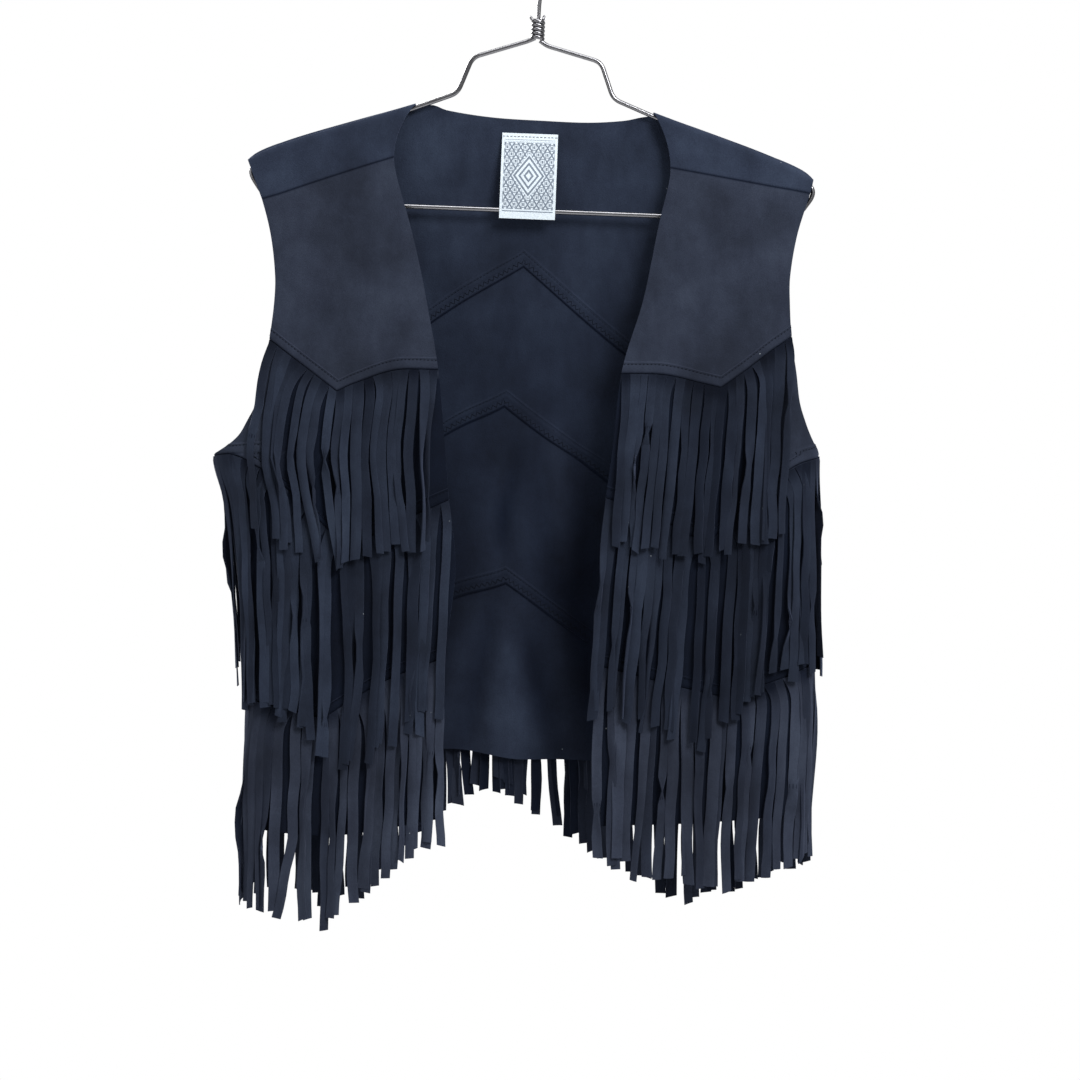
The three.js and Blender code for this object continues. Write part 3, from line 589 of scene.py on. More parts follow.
def back_yoke_sheet(rows=30):
    """The back yoke: its seam, the neck's edge, the fold over the wire and the flaps to the shoulder seams."""
    neck_place, cap_steps, flap_rows = 0.43, 6, 16
    cap = [FOLD_RADIUS * (1 - math.cos(math.pi / 2 * i / cap_steps)) for i in range(cap_steps + 1)]
    edge_step = cap_steps // 2
    halves = []
    for side in ("left", "right"):
        place = spread(0, 26, neck_place, 10, VALLEY["back"], 26, 1)
        in_neck = place < neck_place - 1e-9
        across = np.clip((place - neck_place) / (1 - neck_place), 0, 1)
        x = np.where(
            in_neck,
            mix(CENTRE, NECK_POINT[side], place / neck_place),
            mix(NECK_POINT[side], SHOULDER_TIP[side], across),
        )
        share, line = across_neck(x)
        top = np.where(in_neck, line + read_curved(NECK_SAG, "share", share, "sag"), fold_drop(x))
        bottom = read_seam(BACK_SEAMS["yoke"], place, side) - SEAM_LAP
        neck_cap = [max(0, FOLD_RADIUS * (i - edge_step) / (cap_steps - edge_step)) for i in range(cap_steps + 1)]
        cap_drop = np.stack([np.where(in_neck, top + n, top + c) for n, c in zip(neck_cap, cap)])
        drop = np.concatenate([cap_drop[:-1], row_drops(top + FOLD_RADIUS, bottom, rows, True)])
        at = np.clip((drop - top - FOLD_RADIUS) / (bottom - top - FOLD_RADIUS), 0, 1)
        lower = back_girth(side, read_seam(BACK_SEAMS["yoke"], place, "share"), BACK_PEAKS["yoke"], drop)
        follow = np.where(in_neck, at, mix(at, 1, across**2))
        girth = mix(SIGN[side] * girth_at(side, x, drop), lower, follow)
        points = back_point(girth, drop)
        keep = np.ones(drop.shape, bool)
        keep[:edge_step, in_neck] = False
        # The flap over the shoulder, from its seam up to the fold
        fine = np.linspace(0, 1, 200)
        table = FRONT_SEAMS["shoulder"]
        seam = np.interp(across, read_seam(table, fine, "share"), read_seam(table, fine, side)) - SEAM_LAP
        steps = [0.0, *cap[1:]]
        flap_drop = np.stack(
            [top + s for s in steps]
            + [mix(top + FOLD_RADIUS, seam - 2.6, i / flap_rows) for i in range(1, flap_rows + 1)]
            + [seam - above for above in (1.6, 0.9, 0.4, 0)]
        )[1:]
        along = np.clip((flap_drop - top) / (seam - top), 0, 1)
        seam_x = across_body(side, front_girth(side, across, seam), seam)[0]
        bowed = mix(along * (2 - along), along, across)
        flap_girth = girth_at(side, mix(x, seam_x, bowed), flap_drop)
        flap = front_point(side, flap_girth, flap_drop)
        flap_keep = np.broadcast_to(~in_neck, flap_drop.shape)
        all_points = np.concatenate([flap[::-1], points])
        uv = np.stack([SIGN[side] * np.abs(np.concatenate([flap_girth[::-1], girth])), np.concatenate([flap_drop[::-1], -drop])], -1)
        height = np.concatenate([np.full(flap_drop.shape, 99.0), bottom - drop])
        below = np.concatenate([(seam - flap_drop)[::-1], np.full(drop.shape, 99.0)])
        halves.append((all_points, uv, height, below, np.concatenate([flap_keep[::-1], keep])))
    left, right = halves
    return [np.concatenate([a[:, ::-1], b[:, 1:]], 1) for a, b in zip(left, right)]


def strand_roots(line, stops, pitch, rng):
    """Where the strands of one seam are cut: centre, width and the way they leave the seam, for each."""
    roots = []
    for first, last in zip(stops, stops[1:]):
        place = np.linspace(first, last, 300)
        girth, drop = line(place)
        along = np.concatenate([[0], np.cumsum(np.hypot(np.diff(girth), np.diff(drop)))])
        count = max(1, round(along[-1] / pitch))
        cuts = (np.arange(count + 1) + np.concatenate([[0], rng.uniform(-0.12, 0.12, count - 1), [0]])) / count
        for low, high in zip(cuts * along[-1], cuts[1:] * along[-1]):
            middle = (low + high) / 2
            g0, g1 = (np.interp(middle + step, along, girth) for step in (-4, 4))
            d0, d1 = (np.interp(middle + step, along, drop) for step in (-4, 4))
            slope = math.atan2(d1 - d0, abs(g1 - g0)) * (1 if g1 > g0 else -1)
            ends = [(np.interp(s, along, girth), np.interp(s, along, drop)) for s in (low, middle, high)]
            free = smooth(min(middle, along[-1] - middle), 2, 34)
            roots.append({"ends": ends, "width": high - low - 0.35, "turn": -slope * mix(0.15, 1, free)})
    return roots


def make_strands(surface, line, stops, tier, length_at, shade_at, lean_way, limit, seed, pitch):
    """Cut strands that hang from a seam, turned, bent and layered a little differently each."""
    rng = np.random.default_rng(seed)
    stations = np.array([0, 2, 4.5, 8, 12, 17, 23, 30, 38, 47, 56, 66, 76, 86, 96, 106, 115, 124, 132, 140]) / 140
    profile = np.array([-0.5, -0.18, 0.18, 0.5])
    points, faces, uv, shade_and_tone = [], [], [], []
    area, wide, longest = 0.0, 0.0, 0.0
    base = CLOTH / 2 + STRIP_GAP + STRAND / 2 - 0.1
    half_thick = 0.42
    roots = strand_roots(line, stops, pitch, rng)
    drift = np.convolve(rng.normal(0, 1, len(roots) + 8), np.ones(3) / 1.7, "same")[4:-4]
    for number, root in enumerate(roots):
        (ga, da), (g, d), (gb, db) = root["ends"]
        place = number / (len(roots) - 1)
        length = length_at(place) + np.clip(rng.normal(0, 0.55), -1.3, 1.3) * tier["ragged"]
        width = root["width"] * rng.uniform(0.94, 1.05) * tier["fullness"]
        thin = rng.random() < tier["thin"]
        twist = rng.normal(0, 0.24) + (rng.choice((-1, 1)) * rng.uniform(0.6, 1.1) if thin else 0)
        pinch = rng.choice((-1, 1)) * rng.uniform(0.7, 1.4) if rng.random() < tier["pinched"] else 0
        pinch_at, pinch_long = rng.uniform(0.3, 0.85), rng.uniform(0.04, 0.1)
        curl = rng.normal(0.07, 0.07)
        layer = rng.uniform(-0.5, 1.2) + 0.6 * (number % 2)
        slant = math.tan(math.radians(rng.normal(0, 10)))
        share = min(1.0, abs(g) / limit(g, d))
        stray = tier["stray"] * (1 - share**4)
        lean = (lean_way * stray + 2.2 * drift[number] * (1 - share**4) + rng.normal(0, 1.4)) / tier["length"]
        bow, flare = rng.normal(0, 1.3), rng.normal(0, 1.2) + (rng.normal(0, 5) if rng.random() < 0.16 else 0)
        ripple, ripples, starts = rng.uniform(0.2, 0.75), rng.uniform(1.6, 3.6), rng.uniform(0, 2 * math.pi)
        wave, phase = rng.uniform(0.3, 0.9), rng.uniform(0, 2 * math.pi)
        turn0 = 0.9 * root["turn"] + rng.normal(0, 0.1)
        s = stations * length
        fine = np.linspace(0, length, 120)
        heading = turn0 * (1 - smooth(fine, 2, rng.uniform(18, 34)))
        side = np.concatenate([[0], np.cumsum(np.sin(heading[:-1]) * np.diff(fine))])
        fall = np.concatenate([[0], np.cumsum(np.cos(heading[:-1]) * np.diff(fine))])
        mid_side = np.interp(s, fine, side) + lean * s + bow * np.sin(math.pi * stations)
        mid_side += flare * smooth(stations, 0.6, 1.15) * (1 - share**4)
        mid_side += ripple * np.sin(starts + 2 * math.pi * ripples * stations) * smooth(stations, 0.05, 0.4)
        mid_drop = d + STRIP_DROP + np.interp(s, fine, fall)
        mid_girth = (g + mid_side) * limit(g, mid_drop) / limit(g, d)
        edge = limit(g, mid_drop) - 1.5
        mid_girth = np.clip(mid_girth, -edge, edge)
        at, out = surface(mid_girth, mid_drop)
        down = np.gradient(at, axis=0)
        down /= np.linalg.norm(down, axis=1, keepdims=True)
        across = np.cross(down, out)
        across /= np.linalg.norm(across, axis=1, keepdims=True)
        out = np.cross(across, down)
        # Across points the way the girth grows
        inward = surface(0.98 * mid_girth[:1], mid_drop[:1])[0][0]
        across *= np.sign(np.dot(across[0], at[0] - inward) * mid_girth[0])
        grown = smooth(stations, 0.01, 0.3)
        turn = twist * smooth(stations, 0.03, 0.55) + 0.28 * np.sin(phase + 4.2 * stations) * grown
        turn += pinch * np.exp(-(((stations - pinch_at) / pinch_long) ** 2))
        lift = base + grown * layer + (tier["end_off"] - 1.2) * stations**1.3 + wave * np.sin(phase + 7 * stations) * grown
        lift = np.maximum(lift, base - 0.3)
        spin = np.cos(turn)[:, None] * across + np.sin(turn)[:, None] * out
        face = np.cos(turn)[:, None] * out - np.sin(turn)[:, None] * across
        rows = []
        for u in profile:
            cup = curl * width * (0.25 - u * u) * 4 * grown
            centre = at + out * (lift + np.abs(np.sin(turn)) * width * 0.3)[:, None] + spin * (u * width) + face * cup[:, None]
            centre[-1] += down[-1] * (u * width * slant)
            rows.append((centre + face * half_thick, centre - face * half_thick))
        # The root keeps to the seam, whatever its slope
        for u, (front, rear) in zip(profile, rows):
            rg, rd = mix(ga, gb, u + 0.5), mix(da, db, u + 0.5)
            rg = float(np.clip(rg, 0.4 - limit(g, rd), limit(g, rd) - 0.4))
            on, way = surface(np.array([rg]), np.array([rd + STRIP_DROP]))
            front[0], rear[0] = on[0] + way[0] * (base + half_thick), on[0] + way[0] * (base - half_thick)
        ring = [r[0] for r in rows] + [r[1] for r in rows[::-1]]
        first, sides, count = sum(len(p) for p in points), len(ring), len(stations)
        points.append(np.stack(ring, 1).reshape(-1, 3))
        for i in range(count - 1):
            for j in range(sides):
                a, b = first + i * sides + j, first + i * sides + (j + 1) % sides
                faces.append([a, b, b + sides, a + sides])
        faces.append([first + j for j in reversed(range(sides))])
        faces.append([first + (count - 1) * sides + j for j in range(sides)])
        around = np.concatenate([profile, profile[::-1]]) * width
        uv.append(np.stack([np.tile(around + g, count), np.repeat(-mid_drop, sides)], -1))
        # Painted light and shade on each strand: its own tone differs at random, the painted shadow along its seam is
        # added, painted shade darkens its first 16 mm below the seam, painted light brightens it a little towards its
        # end, and its front face is painted lighter towards its edges, its rear face darker
        shade = 0.5 + shade_at(place) + np.clip(rng.normal(0, 0.13), -0.26, 0.26)
        shade = shade - 0.34 * (1 - smooth(s, 0, 16)) + 0.06 * stations
        edges = np.array([0.08, 0.03, 0.03, 0.08, -0.4, -0.4, -0.4, -0.4])
        shade_and_tone.append(np.clip(shade[:, None] + edges[None, :], 0, 1).ravel())
        area += width * length * MM * MM
        wide += width * MM
        longest = max(longest, length * MM)
    points = np.concatenate(points)
    # Faces point away from the strand: turn them all if the first side faces inwards
    quad = points[faces[0]]
    if np.dot(np.cross(quad[2] - quad[0], quad[3] - quad[1]), quad.mean(0) - points[:8].mean(0)) < 0:
        faces = [face[::-1] for face in faces]
    return points, faces, np.concatenate(uv), np.concatenate(shade_and_tone), area, wide, longest


# Finishes


class Shader:
    """A small helper that adds nodes to a material and joins them."""

    def __init__(self, name, **constants):
        self.material = bpy.data.materials.new(name)
        self.material.use_nodes = True
        self.tree = self.material.node_tree
        self.surface = self.tree.nodes["Principled BSDF"]
        for socket, value in constants.items():
            self.surface.inputs[socket.replace("_", " ")].default_value = value

    def node(self, kind, inputs=(), **settings):
        made = self.tree.nodes.new(kind)
        for key, value in settings.items():
            setattr(made, key, value)
        for key, value in dict(inputs).items():
            if isinstance(value, bpy.types.NodeSocket):
                self.tree.links.new(value, made.inputs[key])
            else:
                made.inputs[key].default_value = value
        return made

    def math(self, operation, a, b=0.0, c=0.0):
        return self.node("ShaderNodeMath", {0: a, 1: b, 2: c}, operation=operation).outputs[0]

    def noise(self, vector, scale, detail=3.0, roughness=0.5):
        inputs = {"Vector": vector, "Scale": scale, "Detail": detail, "Roughness": roughness}
        return self.node("ShaderNodeTexNoise", inputs).outputs["Fac"]

    def ramp(self, fac, *stops):
        made = self.node("ShaderNodeValToRGB", {"Fac": fac})
        ends = made.color_ramp.elements
        while len(ends) < len(stops):
            ends.new(0.5)
        for end, (at, colour) in zip(ends, stops):
            end.position = at
            end.color = (*colour, 1)
        return made.outputs["Color"]

    def blend(self, fac, a, b, how="MIX"):
        made = self.node("ShaderNodeMix", data_type="RGBA", blend_type=how)
        for key, value in ((0, fac), (6, a), (7, b)):
            if isinstance(value, bpy.types.NodeSocket):
                self.tree.links.new(value, made.inputs[key])
            else:
                made.inputs[key].default_value = value
        return made.outputs[2]

    def bump(self, *layers):
        """Layers are heights with a strength and a distance in metres, the broadest first."""
        normal = None
        for height, strength, distance in layers:
            inputs = {"Height": height, "Strength": strength, "Distance": distance}
            if normal is not None:
                inputs["Normal"] = normal
            normal = self.node("ShaderNodeBump", inputs).outputs["Normal"]
        self.tree.links.new(normal, self.surface.inputs["Normal"])

    def set(self, socket, value):
        self.tree.links.new(value, self.surface.inputs[socket])


def linear(colour):
    """A colour given as sRGB bytes, as linear light."""
    return tuple(c / 255 / 12.92 if c / 255 <= 0.04045 else ((c / 255 + 0.055) / 1.055) ** 2.4 for c in colour)


def scaled(colour, by):
    return tuple(c * by for c in colour)


def suede_finish(sizes, name, shade, cooler):
    """Faux suede: a short matt nap in mottled patches, with a fine grain and a faint bloom at its edges."""
    base = scaled(tuple(sizes.suede_colour), shade)
    base = (base[0] * (1 - cooler), base[1], base[2] * (1 + cooler))
    suede = Shader(name, Roughness=0.96, Sheen_Weight=0.07, Sheen_Roughness=0.5, Specular_IOR_Level=0.06)
    suede.surface.inputs["Sheen Tint"].default_value = (0.45, 0.55, 0.9, 1)
    place = suede.node("ShaderNodeTexCoord").outputs["Object"]
    patches = suede.noise(place, 17.0, 4.0, 0.62)
    brushed = suede.noise(suede.node("ShaderNodeMapping", {"Vector": place, "Scale": (1.0, 1.0, 0.35)}).outputs[0], 62.0, 3.0, 0.6)
    nap = suede.noise(place, 900.0, 2.0, 0.6)
    grain = suede.noise(place, 2600.0, 2.0, 0.7)
    colour = suede.ramp(
        patches, (0.3, scaled(base, 0.66)), (0.5, base), (0.72, scaled((base[0] * 1.05, base[1] * 1.05, base[2]), 1.36))
    )
    colour = suede.blend(0.55, colour, suede.ramp(brushed, (0.3, (0.72, 0.72, 0.75)), (0.7, (1.28, 1.28, 1.25))), "MULTIPLY")
    colour = suede.blend(0.6, colour, suede.ramp(nap, (0.25, (0.72, 0.72, 0.74)), (0.75, (1.28, 1.28, 1.26))), "MULTIPLY")
    # The point attribute scales the colour, darker and bluer below its middle value and lighter above: it holds painted
    # shade and painted light, and each strand's own random tone
    shade_and_tone = suede.node("ShaderNodeAttribute", attribute_name="shade_and_tone").outputs["Fac"]
    colour = suede.blend(1.0, colour, suede.ramp(shade_and_tone, (0.0, (0.09, 0.15, 0.25)), (0.5, (1, 1, 1)), (1.0, (1.75, 1.75, 1.7))), "MULTIPLY")
    # A few specks of pale lint
    lint = suede.node("ShaderNodeTexVoronoi", {"Vector": place, "Scale": 60.0, "Randomness": 1.0})
    speck = suede.math("MULTIPLY", suede.math("LESS_THAN", lint.outputs["Distance"], 0.029), suede.math("GREATER_THAN", suede.node("ShaderNodeSeparateColor", {"Color": lint.outputs["Color"]}).outputs[0], 0.72))
    colour = suede.blend(speck, colour, (0.1, 0.11, 0.12, 1))
    suede.set("Base Color", colour)
    suede.set("Roughness", suede.math("MULTIPLY_ADD", nap, 0.08, 0.9))
    suede.bump((brushed, 0.35, 0.0009), (nap, 0.5, 0.00035), (grain, 0.45, 0.00012))
    return suede.material


def thread_finish(sizes):
    thread = Shader("thread", Roughness=0.9, Specular_IOR_Level=0.04)
    place = thread.node("ShaderNodeTexCoord").outputs["Object"]
    twist = thread.noise(place, 3200.0, 1.0)
    base = tuple(sizes.thread_colour)
    thread.set("Base Color", thread.ramp(twist, (0.3, scaled(base, 0.6)), (0.7, scaled(base, 1.3))))
    thread.bump((twist, 0.5, 0.0001))
    return thread.material


def dark_thread_finish():
    thread = Shader("label_thread", Roughness=0.7)
    place = thread.node("ShaderNodeTexCoord").outputs["Object"]
    twist = thread.noise(place, 2800.0, 1.0)
    thread.set("Base Color", thread.ramp(twist, (0.3, (0.008, 0.009, 0.012)), (0.7, (0.03, 0.032, 0.04))))
    thread.bump((twist, 0.4, 0.0001))
    return thread.material


def wire_finish(sizes):
    """Plated wire: bright, with faint drawn scratches along it and a slight dulling."""
    wire = Shader("plated_wire", Metallic=1.0, Roughness=0.2)
    place = wire.node("ShaderNodeTexCoord").outputs["Object"]
    drawn = wire.noise(wire.node("ShaderNodeMapping", {"Vector": place, "Scale": (0.12, 1.0, 0.12)}).outputs[0], 1900.0, 2.0)
    dull = wire.noise(place, 45.0, 3.0)
    base = tuple(sizes.wire_colour)
    wire.set("Base Color", wire.ramp(dull, (0.3, scaled(base, 0.82)), (0.7, base)))
    wire.set("Roughness", wire.math("ADD", wire.math("MULTIPLY", drawn, 0.16), wire.math("MULTIPLY_ADD", dull, 0.12, 0.08)))
    wire.bump((drawn, 0.12, 0.00004))
    return wire.material


def label_finish(sizes):
    """A woven label: a pale border round a diamond lattice with small buds, and nested lozenges in the middle."""
    label = Shader("woven_label", Roughness=0.72, Sheen_Weight=0.15)
    uv = label.node("ShaderNodeUVMap", uv_map="cloth").outputs["UV"]
    parts = label.node("ShaderNodeSeparateXYZ", {0: uv}).outputs
    x, y = (label.math("MULTIPLY", part, 1000.0) for part in parts[:2])
    across, down = label.math("ABSOLUTE", x), label.math("ABSOLUTE", y)

    def below(value, limit):
        return label.math("LESS_THAN", value, limit)

    def either(a, b):
        return label.math("MAXIMUM", a, b)

    def both(a, b):
        return label.math("MULTIPLY", a, b)

    lean = label.math("MULTIPLY", y, 0.62)
    cells = [
        label.math("ABSOLUTE", label.math("SUBTRACT", label.math("FRACT", label.math("MULTIPLY", label.math(way, x, lean), 0.145)), 0.5))
        for way in ("ADD", "SUBTRACT")
    ]
    lattice = either(*(label.math("GREATER_THAN", cell, 0.405) for cell in cells))
    bud = below(label.math("ADD", *cells), 0.2)
    ring = both(below(label.math("ADD", *cells), 0.46), label.math("GREATER_THAN", label.math("ADD", *cells), 0.34))
    lozenge = label.math("ADD", label.math("MULTIPLY", across, 1 / 12.5), label.math("MULTIPLY", down, 1 / 16.5))
    rings = both(below(lozenge, 0.97), label.math("GREATER_THAN", label.math("FRACT", label.math("MULTIPLY", lozenge, 3.1)), 0.55))
    ground = label.math("GREATER_THAN", lozenge, 1.05)
    pattern = either(both(either(either(lattice, bud), ring), ground), rings)
    inside = both(below(across, 19.6), below(down, 31.4))
    bars = both(below(label.math("FRACT", label.math("MULTIPLY", y, 0.5)), 0.4), both(label.math("GREATER_THAN", down, 26.6), below(down, 28.4)))
    pattern = both(either(both(pattern, below(down, 26.0)), bars), inside)
    place = label.node("ShaderNodeTexCoord").outputs["Object"]
    fray = label.noise(place, 700.0, 2.0)
    pale, dark = tuple(sizes.label_colour), tuple(sizes.label_pattern_colour)
    ground_colour = label.ramp(fray, (0.3, scaled(pale, 0.86)), (0.7, pale))
    pattern_colour = label.ramp(fray, (0.3, dark), (0.75, scaled(dark, 1.7)))
    label.set("Base Color", label.blend(label.math("MULTIPLY", pattern, 0.86), ground_colour, pattern_colour))
    warp = label.math("SINE", label.math("MULTIPLY", x, 2 * math.pi / 0.42))
    weft = label.math("SINE", label.math("MULTIPLY", y, 2 * math.pi / 0.36))
    label.bump((pattern, 0.35, 0.00012), (label.math("MULTIPLY", warp, weft), 0.5, 0.00008))
    return label.material


def floor_finish(sizes):
    floor = Shader("pale_floor", Roughness=0.8)
    place = floor.node("ShaderNodeTexCoord").outputs["Object"]
    pale = tuple(sizes.floor_colour)
    floor.set("Base Color", floor.ramp(floor.noise(place, 1.2, 2.0), (0.3, scaled(pale, 0.985)), (0.7, pale)))
    return floor.material


# The fringe's suede is a darker, bluer copy of the suede, painted shade; the lowest fringe's is a lighter, greyer copy,
# painted light; the back's is a bluer copy, painted shade
FINISHES = {
    "suede": lambda sizes: suede_finish(sizes, "suede", 1.0, 0.01),
    "fringe_suede": lambda sizes: suede_finish(sizes, "fringe_suede", sizes.fringe_shade, 0.08),
    "low_fringe_suede": lambda sizes: suede_finish(sizes, "low_fringe_suede", sizes.low_fringe_shade, -0.01),
    "back_suede": lambda sizes: suede_finish(sizes, "back_suede", sizes.back_shade, 0.09),
    "thread": thread_finish,
    "label_thread": lambda sizes: dark_thread_finish(),
    "plated_wire": wire_finish,
    "woven_label": label_finish,
    "pale_floor": floor_finish,
}


def finish(name):
    """A finish by its name, made the first time it is asked for."""
    return bpy.data.materials.get(name) or FINISHES[name](bpy.context.scene.vest_sizes)


# Stitches and the wound collar, by Geometry Nodes


def new_tree(name, *inputs):
    tree = bpy.data.node_groups.new(name, "GeometryNodeTree")
    tree.interface.new_socket("Geometry", in_out="INPUT", socket_type="NodeSocketGeometry")
    for label, kind, default in inputs:
        socket = tree.interface.new_socket(label, in_out="INPUT", socket_type=kind)
        if default is not None:
            socket.default_value = default
    tree.interface.new_socket("Geometry", in_out="OUTPUT", socket_type="NodeSocketGeometry")
    return tree, tree.nodes.new("NodeGroupInput").outputs, tree.nodes.new("NodeGroupOutput").inputs


def tree_node(tree, kind, inputs=(), **settings):
    made = tree.nodes.new(kind)
    for key, value in settings.items():
        setattr(made, key, value)
    for key, value in dict(inputs).items():
        if isinstance(value, bpy.types.NodeSocket):
            tree.links.new(value, made.inputs[key])
        else:
            made.inputs[key].default_value = value
    return made


def stitch_tree():
    """Stitches along lines: each a slim rounded thread, laid along its line or slanting by turns across it."""
    if "Stitches" in bpy.data.node_groups:
        return bpy.data.node_groups["Stitches"]
    tree, given, result = new_tree(
        "Stitches",
        ("Spacing", "NodeSocketFloat", 0.0022),
        ("Length", "NodeSocketFloat", 0.0017),
        ("Thickness", "NodeSocketFloat", 0.0004),
        ("Slant", "NodeSocketFloat", 0.0),
        ("Seed", "NodeSocketInt", 1),
        ("Material", "NodeSocketMaterial", None),
    )
    node = lambda kind, inputs=(), **settings: tree_node(tree, kind, inputs, **settings)
    line = node("GeometryNodeMeshToCurve", {"Mesh": given["Geometry"]}).outputs[0]
    line = node("GeometryNodeResampleCurve", {"Curve": line, "Length": given["Spacing"]}, mode="LENGTH").outputs[0]
    tangent = node("GeometryNodeInputTangent").outputs[0]
    side = node("GeometryNodeInputNamedAttribute", {"Name": "side"}, data_type="FLOAT_VECTOR").outputs["Attribute"]
    turn = node("ShaderNodeMath", {0: node("GeometryNodeInputIndex").outputs[0], 1: 2.0}, operation="MODULO").outputs[0]
    turn = node("ShaderNodeMath", {0: turn, 1: 2.0, 2: -1.0}, operation="MULTIPLY_ADD").outputs[0]
    loose = node("FunctionNodeRandomValue", {"Seed": given["Seed"]}, data_type="FLOAT")
    loose.inputs[2].default_value, loose.inputs[3].default_value = -0.12, 0.12
    slant = node("ShaderNodeMath", {0: turn, 1: given["Slant"], 2: loose.outputs[1]}, operation="MULTIPLY_ADD").outputs[0]
    across = node("ShaderNodeVectorMath", {0: side, "Scale": slant}, operation="SCALE").outputs[0]
    way = node("ShaderNodeVectorMath", {0: tangent, 1: across}, operation="ADD").outputs[0]
    rotation = node("FunctionNodeAlignRotationToVector", {"Vector": way}, axis="Z").outputs[0]
    thread = node("GeometryNodeMeshUVSphere", {"Segments": 6, "Rings": 5, "Radius": 0.5}).outputs["Mesh"]
    size = node("ShaderNodeCombineXYZ", {0: given["Thickness"], 1: given["Thickness"], 2: given["Length"]}).outputs[0]
    thread = node("GeometryNodeTransform", {"Geometry": thread, "Scale": size}).outputs[0]
    thread = node("GeometryNodeSetShadeSmooth", {"Geometry": thread}).outputs[0]
    laid = node("GeometryNodeInstanceOnPoints", {"Points": line, "Instance": thread, "Rotation": rotation}).outputs[0]
    laid = node("GeometryNodeRealizeInstances", {"Geometry": laid}).outputs[0]
    laid = node("GeometryNodeSetMaterial", {"Geometry": laid, "Material": given["Material"]}).outputs[0]
    tree.links.new(laid, result["Geometry"])
    return tree


def collar_tree():
    """A wire wound in a level coil."""
    tree, given, result = new_tree(
        "Wound Collar",
        ("Turns", "NodeSocketFloat", 5.0),
        ("Coil Radius", "NodeSocketFloat", 0.0038),
        ("Height", "NodeSocketFloat", 0.0168),
        ("Wire Radius", "NodeSocketFloat", 0.0016),
        ("Base", "NodeSocketVector", None),
        ("Lean", "NodeSocketFloat", 0.0),
        ("Material", "NodeSocketMaterial", None),
    )
    node = lambda kind, inputs=(), **settings: tree_node(tree, kind, inputs, **settings)
    sizes = {
        "Resolution": 24,
        "Rotations": given["Turns"],
        "Start Radius": given["Coil Radius"],
        "End Radius": given["Coil Radius"],
        "Height": given["Height"],
    }
    coil = node("GeometryNodeCurveSpiral", sizes).outputs[0]
    ring = node("GeometryNodeCurvePrimitiveCircle", {"Resolution": 12, "Radius": given["Wire Radius"]}, mode="RADIUS").outputs[0]
    wound = node("GeometryNodeCurveToMesh", {"Curve": coil, "Profile Curve": ring, "Fill Caps": True}).outputs[0]
    turned = node("ShaderNodeCombineXYZ", {1: given["Lean"]}).outputs[0]
    wound = node("GeometryNodeTransform", {"Geometry": wound, "Translation": given["Base"], "Rotation": turned}).outputs[0]
    wound = node("GeometryNodeSetShadeSmooth", {"Geometry": wound}).outputs[0]
    wound = node("GeometryNodeRealizeInstances", {"Geometry": wound}).outputs[0]
    wound = node("GeometryNodeSetMaterial", {"Geometry": wound, "Material": given["Material"]}).outputs[0]
    tree.links.new(wound, result["Geometry"])
    return tree


def grow(name, base_mesh, tree, **inputs):
    """Runs a tree on a mesh and leaves its result as a plain mesh."""
    piece = bpy.data.objects.new(name, base_mesh)
    bpy.context.scene.collection.objects.link(piece)
    modifier = piece.modifiers.new("grow", "NODES")
    modifier.node_group = tree
    for item in tree.interface.items_tree:
        key = item.name.replace(" ", "_")
        if item.item_type == "SOCKET" and item.in_out == "INPUT" and key in inputs:
            modifier[item.identifier] = inputs[key]
    evaluated = piece.evaluated_get(bpy.context.evaluated_depsgraph_get())
    mesh = bpy.data.meshes.new_from_object(evaluated)
    piece.modifiers.remove(modifier)
    piece.data = mesh
    mesh.name = name
    if not len(mesh.polygons):
        raise RuntimeError(f"{name} came out empty")
    return piece


def line_mesh(name, lines):
    """Lines of points in millimetres with the way across each, as a mesh of edges."""
    points = np.concatenate([p for p, _ in lines])
    sides = np.concatenate([s for _, s in lines])
    edges, start = [], 0
    for line, _ in lines:
        edges += [(i, i + 1) for i in range(start, start + len(line) - 1)]
        start += len(line)
    mesh = bpy.data.meshes.new(name)
    mesh.from_pydata((points * MM).tolist(), edges, [])
    mesh.attributes.new("side", "FLOAT_VECTOR", "POINT").data.foreach_set("vector", sides.astype(np.float32).ravel())
    return mesh


def sewn_line(surface, girth, drop, stand):
    """A line laid on the cloth at a height above its middle, with the way across the line."""
    at, out = surface(girth, drop)
    points = at + out * stand
    along = np.gradient(points, axis=0)
    side = np.cross(out, along)
    return points, side / np.linalg.norm(side, axis=1, keepdims=True)


# Wires


